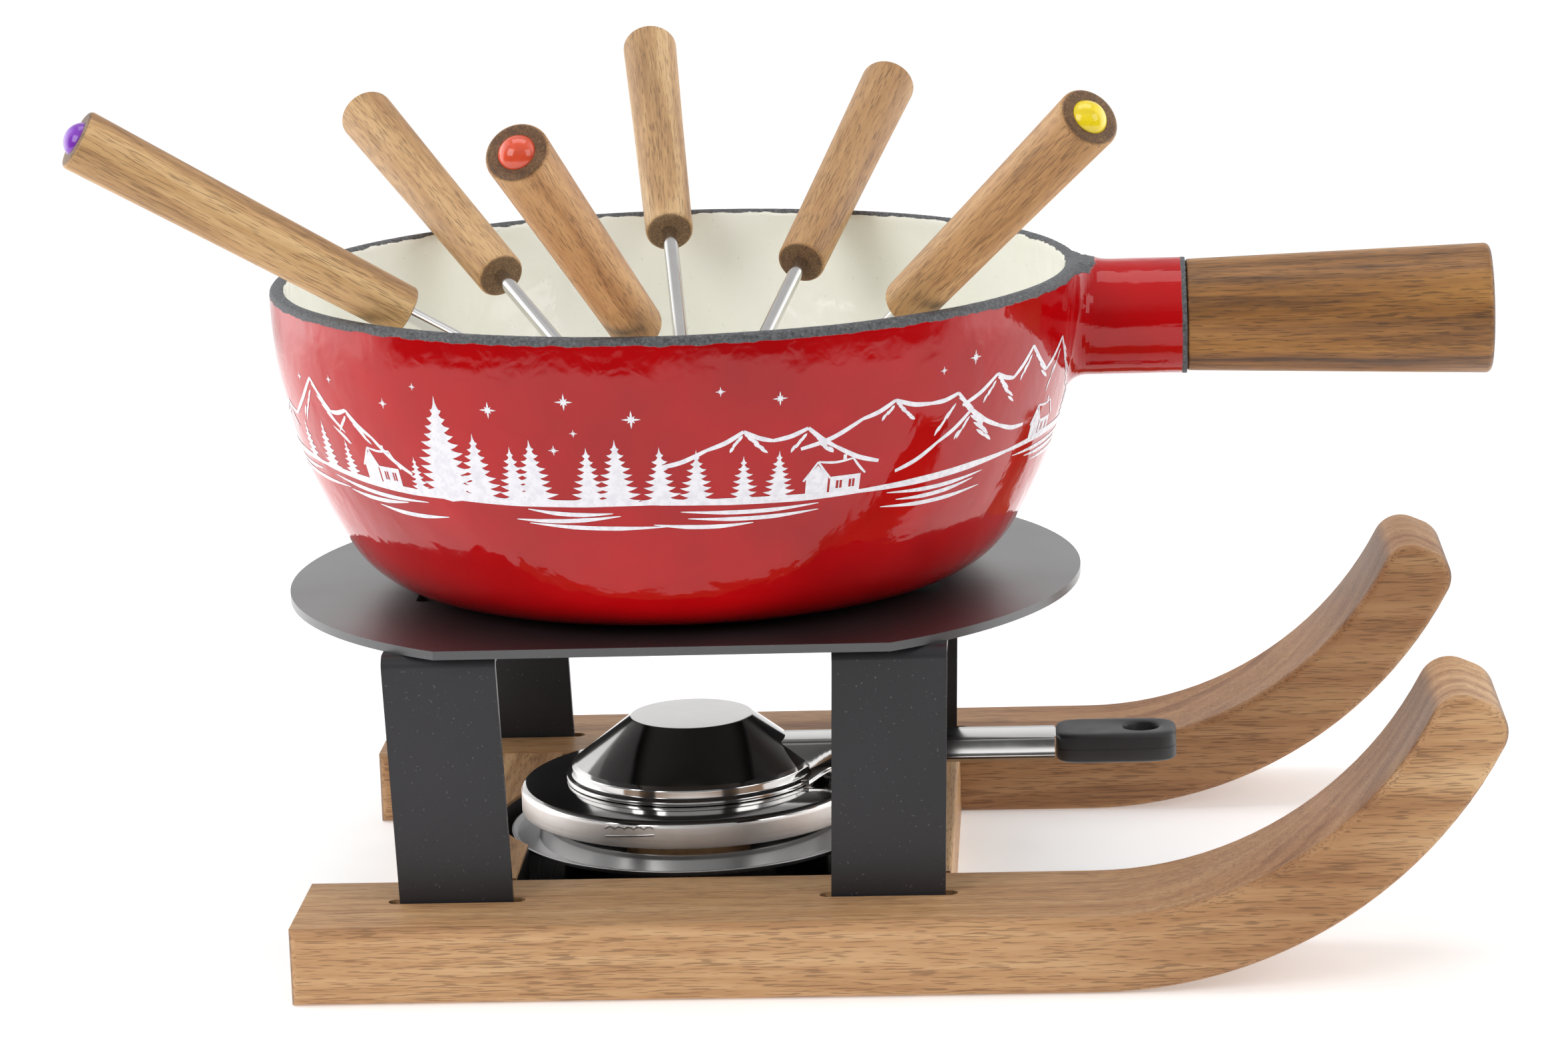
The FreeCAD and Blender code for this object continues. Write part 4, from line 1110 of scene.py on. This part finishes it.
def make_burner():
    """Cup and vent plate keep their CAD shapes; the dish and the lid get rolled edges."""
    polish = steel("burner_polish", 0.07)
    dress(polish, "burner_cup", "burner_vent_plate")
    dress(fleece_white(), "burner_fleece")
    dress(wire_cloth(), "burner_mesh")
    low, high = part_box("burner_dish")
    rim, top, level, tin = high.x, high.z, low.z, 0.8 * MM
    inner = 40.2 * MM
    outline = rounded([
        (inner, level), (47.2 * MM, level, 1.5 * MM), (rim - 1.8 * MM, level + 1.9 * MM, 1.6 * MM),
        (rim, top, 0.35 * MM), (rim - 1.1 * MM, top, 0.35 * MM),
        (rim - 2.2 * MM, level + 1.9 * MM + tin, 1.2 * MM), (47 * MM, level + tin, 1.5 * MM),
        (inner, level + tin),
    ], 6)
    satin = steel("burner_satin", 0.36, 0.8, tint=(0.74, 0.74, 0.75))
    make("burner_drip_dish", *lathe(outline, 192), [satin], "burner", "polished_steel", ["burner_dish"])
    make_lid(polish)


def make_lid(polish):
    """The perforated lid with its paler band and the scale mark on it."""
    low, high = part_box("burner_lid")
    rim, top, foot, tin = high.x, high.z, low.z, 0.8 * MM
    opening, neck, brow, fall = 26 * MM, 47.35 * MM, 37.5 * MM, 0.9 * MM
    outline = rounded([
        (neck, foot), (rim, foot, 0.5 * MM), (rim, top - fall, 2.2 * MM), (brow, top, 0.8 * MM),
        (opening, top, 0.3 * MM), (opening, top - tin), (brow, top - tin, 0.6 * MM),
        (rim - tin, top - fall - tin, 1.4 * MM), (rim - tin, foot + tin), (neck, foot + tin),
    ], 7)
    lid = make("burner_lid_turned", *lathe(outline, 192), [polish], "lid", "polished_steel", ["burner_lid"])
    cutter = drills(31 * MM, 2.2 * MM, top - 3 * tin, top + tin, 8)
    cut = lid.modifiers.new("air_holes", "BOOLEAN")
    cut.object = cutter
    cut.solver = "EXACT"
    bake_modifiers(lid)
    bpy.data.objects.remove(cutter)
    lid.data.materials.append(steel("burner_band", 0.29, 1.6, tint=(0.93, 0.90, 0.88), metal=0.85))
    for face in lid.data.polygons:
        if face.center.xy.length > rim - 0.25 * MM and face.center.z < top - fall - 1.2 * MM:
            face.material_index = 1
    make_scale(rim, (foot + top) / 2)


def drills(ring, radius, low, high, count):
    """Round bars to cut a ring of holes."""
    bars = []
    for angle in ring_angles(count):
        x, y = ring * cos(angle), ring * sin(angle)
        bars.append(loft([[(x + radius * cos(t), y + radius * sin(t), z) for t in ring_angles(20)]
                          for z in (low, high)]))
    return link("drills", new_mesh("drills", *joined(*bars)))


def bake_modifiers(piece):
    """Replace a piece's mesh by its evaluated one."""
    bpy.context.view_layer.update()
    graph = bpy.context.evaluated_depsgraph_get()
    done = bpy.data.meshes.new_from_object(piece.evaluated_get(graph))
    piece.modifiers.clear()
    piece.data = done
    smooth(done)


def make_scale(rim, level):
    """A small raised mark on the band for the flame's setting: a scalloped line over a plain one."""
    raised, wide, steps = 0.12 * MM, 0.34 * MM, 60
    start, long = radians(-26), radians(17)
    parts = []
    for left, right, scallops in ((0.9, 1.6, 0.9), (-1.5, -0.2, 0.0)):
        sections = []
        for t in [k / steps for k in range(steps + 1)]:
            angle = start + long * t - pi / 2
            height = level + (left + (right - left) * t) * MM
            height += scallops * MM * abs(sin(5 * pi * t)) * 0.8
            radii = [(rim + raised * cos(turn), wide * sin(turn)) for turn in ring_angles(8)]
            sections.append([(r * cos(angle), r * sin(angle), height + rise) for r, rise in radii])
        parts.append(loft(sections))
    mark = make("burner_scale_mark", *joined(*parts), [steel("mark_steel", 0.25)], "lid", "polished_steel")
    turn_outwards(mark.data)


def make_snuffer():
    """Cap with a rounded cone and stepped edge, and its pressed arm."""
    low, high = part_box("snuffer_cap")
    polish = steel("snuffer_polish", 0.09)
    rim, foot, top, tin = high.x, low.z, high.z, 0.8 * MM
    disc, cone, cone_foot, ledge = 18.3 * MM, 35.4 * MM, 38.8 * MM, 36.6 * MM
    outline = rounded([
        (0, top - tin), (disc - tin / 2, top - tin), (cone - tin, cone_foot - tin / 2),
        (ledge - tin, foot + 3.3 * MM), (ledge - tin, foot + 1.4 * MM), (rim - tin, foot + 0.6 * MM),
        (rim - tin, foot, 0.2 * MM), (rim, foot, 0.3 * MM), (rim, foot + 1.3 * MM, 0.6 * MM),
        (ledge, foot + 1.9 * MM, 0.5 * MM), (ledge, foot + 4.2 * MM, 0.9 * MM), (cone, cone_foot, 0.9 * MM),
        (disc, top, 1.2 * MM), (0, top),
    ], 6)
    make("snuffer_pressed", *lathe(outline, 192), [polish], "snuffer", "polished_steel", ["snuffer_cap"])
    make_arm(polish, rim, foot)


def make_arm(polish, rim, foot):
    """Channel of sheet: its flanges spread out into the cap's edge."""
    low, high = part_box("snuffer_arm")
    top, under, half, tin = high.z, low.z, high.y, 0.8 * MM
    start, end = 27 * MM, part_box("snuffer_grip")[0].x - 0.3 * MM
    sections, steps = [], 56
    for t in [k / steps for k in range(steps + 1)]:
        x = start + (end - start) * t
        near = max(0.0, 1 - max(0.0, x - rim * 0.94) / (13 * MM))
        spread = 9.5 * MM * near ** 2.2
        sag = (under - foot - 0.4 * MM) * near ** 1.6
        lip, lip_low = half + spread, under - sag
        outer = [(0, top), (half - 1.2 * MM, top), (half - 0.45 * MM, top - 0.25 * MM),
                 (half - 0.1 * MM, top - 1.0 * MM), (half - 0.6 * MM + 0.1 * spread, lip_low + 2.6 * MM),
                 (half - 0.3 * MM + 0.3 * spread, lip_low + 1.7 * MM), (lip - 0.3 * MM, lip_low + 1.2 * MM),
                 (lip, lip_low + 0.8 * MM), (lip, lip_low)]
        inner = [(y - tin if y > tin else 0, z - tin) for y, z in reversed(outer[:-2])]
        profile = outer + [(lip - tin, lip_low)] + inner
        right = [(x, y, z) for y, z in profile]
        left = [(x, -y, z) for y, z in reversed(profile[1:-1])]
        sections.append(right + left)
    wide, below, above = 5 * MM, top - 1.2 * MM, top - 0.2 * MM
    tongue = loft([[(x, -wide, below), (x, wide, below), (x, wide, above), (x, -wide, above)]
                   for x in (end - 1 * MM, high.x)])
    arm = make("snuffer_arm_pressed", *joined(loft(sections), tongue), [polish], "snuffer", "polished_steel",
               ["snuffer_arm"])
    turn_outwards(arm.data)


def make_knob():
    """The snuffer's black grip: a rounded bar with a hanging hole, a parting line and a nib."""
    low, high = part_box("snuffer_grip")
    half_long, half_wide, half_high = (high - low) / 2
    middle = (low + high) / 2
    angles, plan = ring_angles(96), []
    for angle in angles:
        c, s = cos(angle), sin(angle)
        power = 0.32 if c < 0 else 0.5
        plan.append((copysign(abs(c) ** power, c), copysign(abs(s) ** 0.42, s)))
    hole_at, hole_radius, edge = 7.5 * MM, 5.2 * MM, 2.4 * MM
    hole = [(hole_at + hole_radius * cos(a), hole_radius * sin(a)) for a in angles]
    rows = []
    levels = [(-1, edge)] + [(-1 + 0.28 * (1 - cos(a)), edge * (1 - sin(a)))
                             for a in (0.3, 0.6, 0.9, 1.2, 1.5)]
    levels += [(-0.05, 0.0), (-0.02, 0.12 * MM), (0.02, 0.12 * MM), (0.05, 0.0)]
    levels += [(-share, inset) for share, inset in reversed(levels[:6])]
    for share, inset in levels:
        rows.append([(middle.x + px * (half_long - inset), middle.y + py * (half_wide - inset),
                      middle.z + share * half_high) for px, py in plan])
    for share, grow in ((1.0, 0.9), (0.93, 0.3), (0.8, 0.0), (-0.8, 0.0), (-0.93, 0.3), (-1.0, 0.9)):
        scale = 1 + grow * MM / (5 * MM)
        rows.append([(middle.x + hole_at + (px - hole_at) * scale, middle.y + py * scale,
                      middle.z + share * half_high) for px, py in hole])
    bar = loft(rows + [rows[0]], capped=False)
    out, thick = 0.6 * MM, 0.9 * MM
    nib = loft([[(x, thick * size * cos(a), middle.z + thick * size * sin(a))
                 for a in ring_angles(12)] for x, size in ((high.x - out, 1), (high.x, 0.8))])
    knob = make("snuffer_knob", *joined(bar, nib), [black_plastic()], "snuffer", "black_plastic",
                ["snuffer_grip"])
    turn_outwards(knob.data, weld=True)


# -------- build


bpy.context.scene.view_settings.view_transform = "Standard"
make_camera()
make_world()
make_floor()
make_light("key_left", (-1.0, -1.1, 0.9), (0.9, 0.9), 9)
make_light("fill_right", (1.3, -0.9, 0.8), (0.8, 0.9), 5)
make_light("top", (0.0, 0.1, 1.5), (1.2, 0.7), 5)
make_sledge()
make_stand()
make_pot()
make_grip()
make_bolt()
make_print()
make_forks()
make_burner()
make_snuffer()
make_knob()
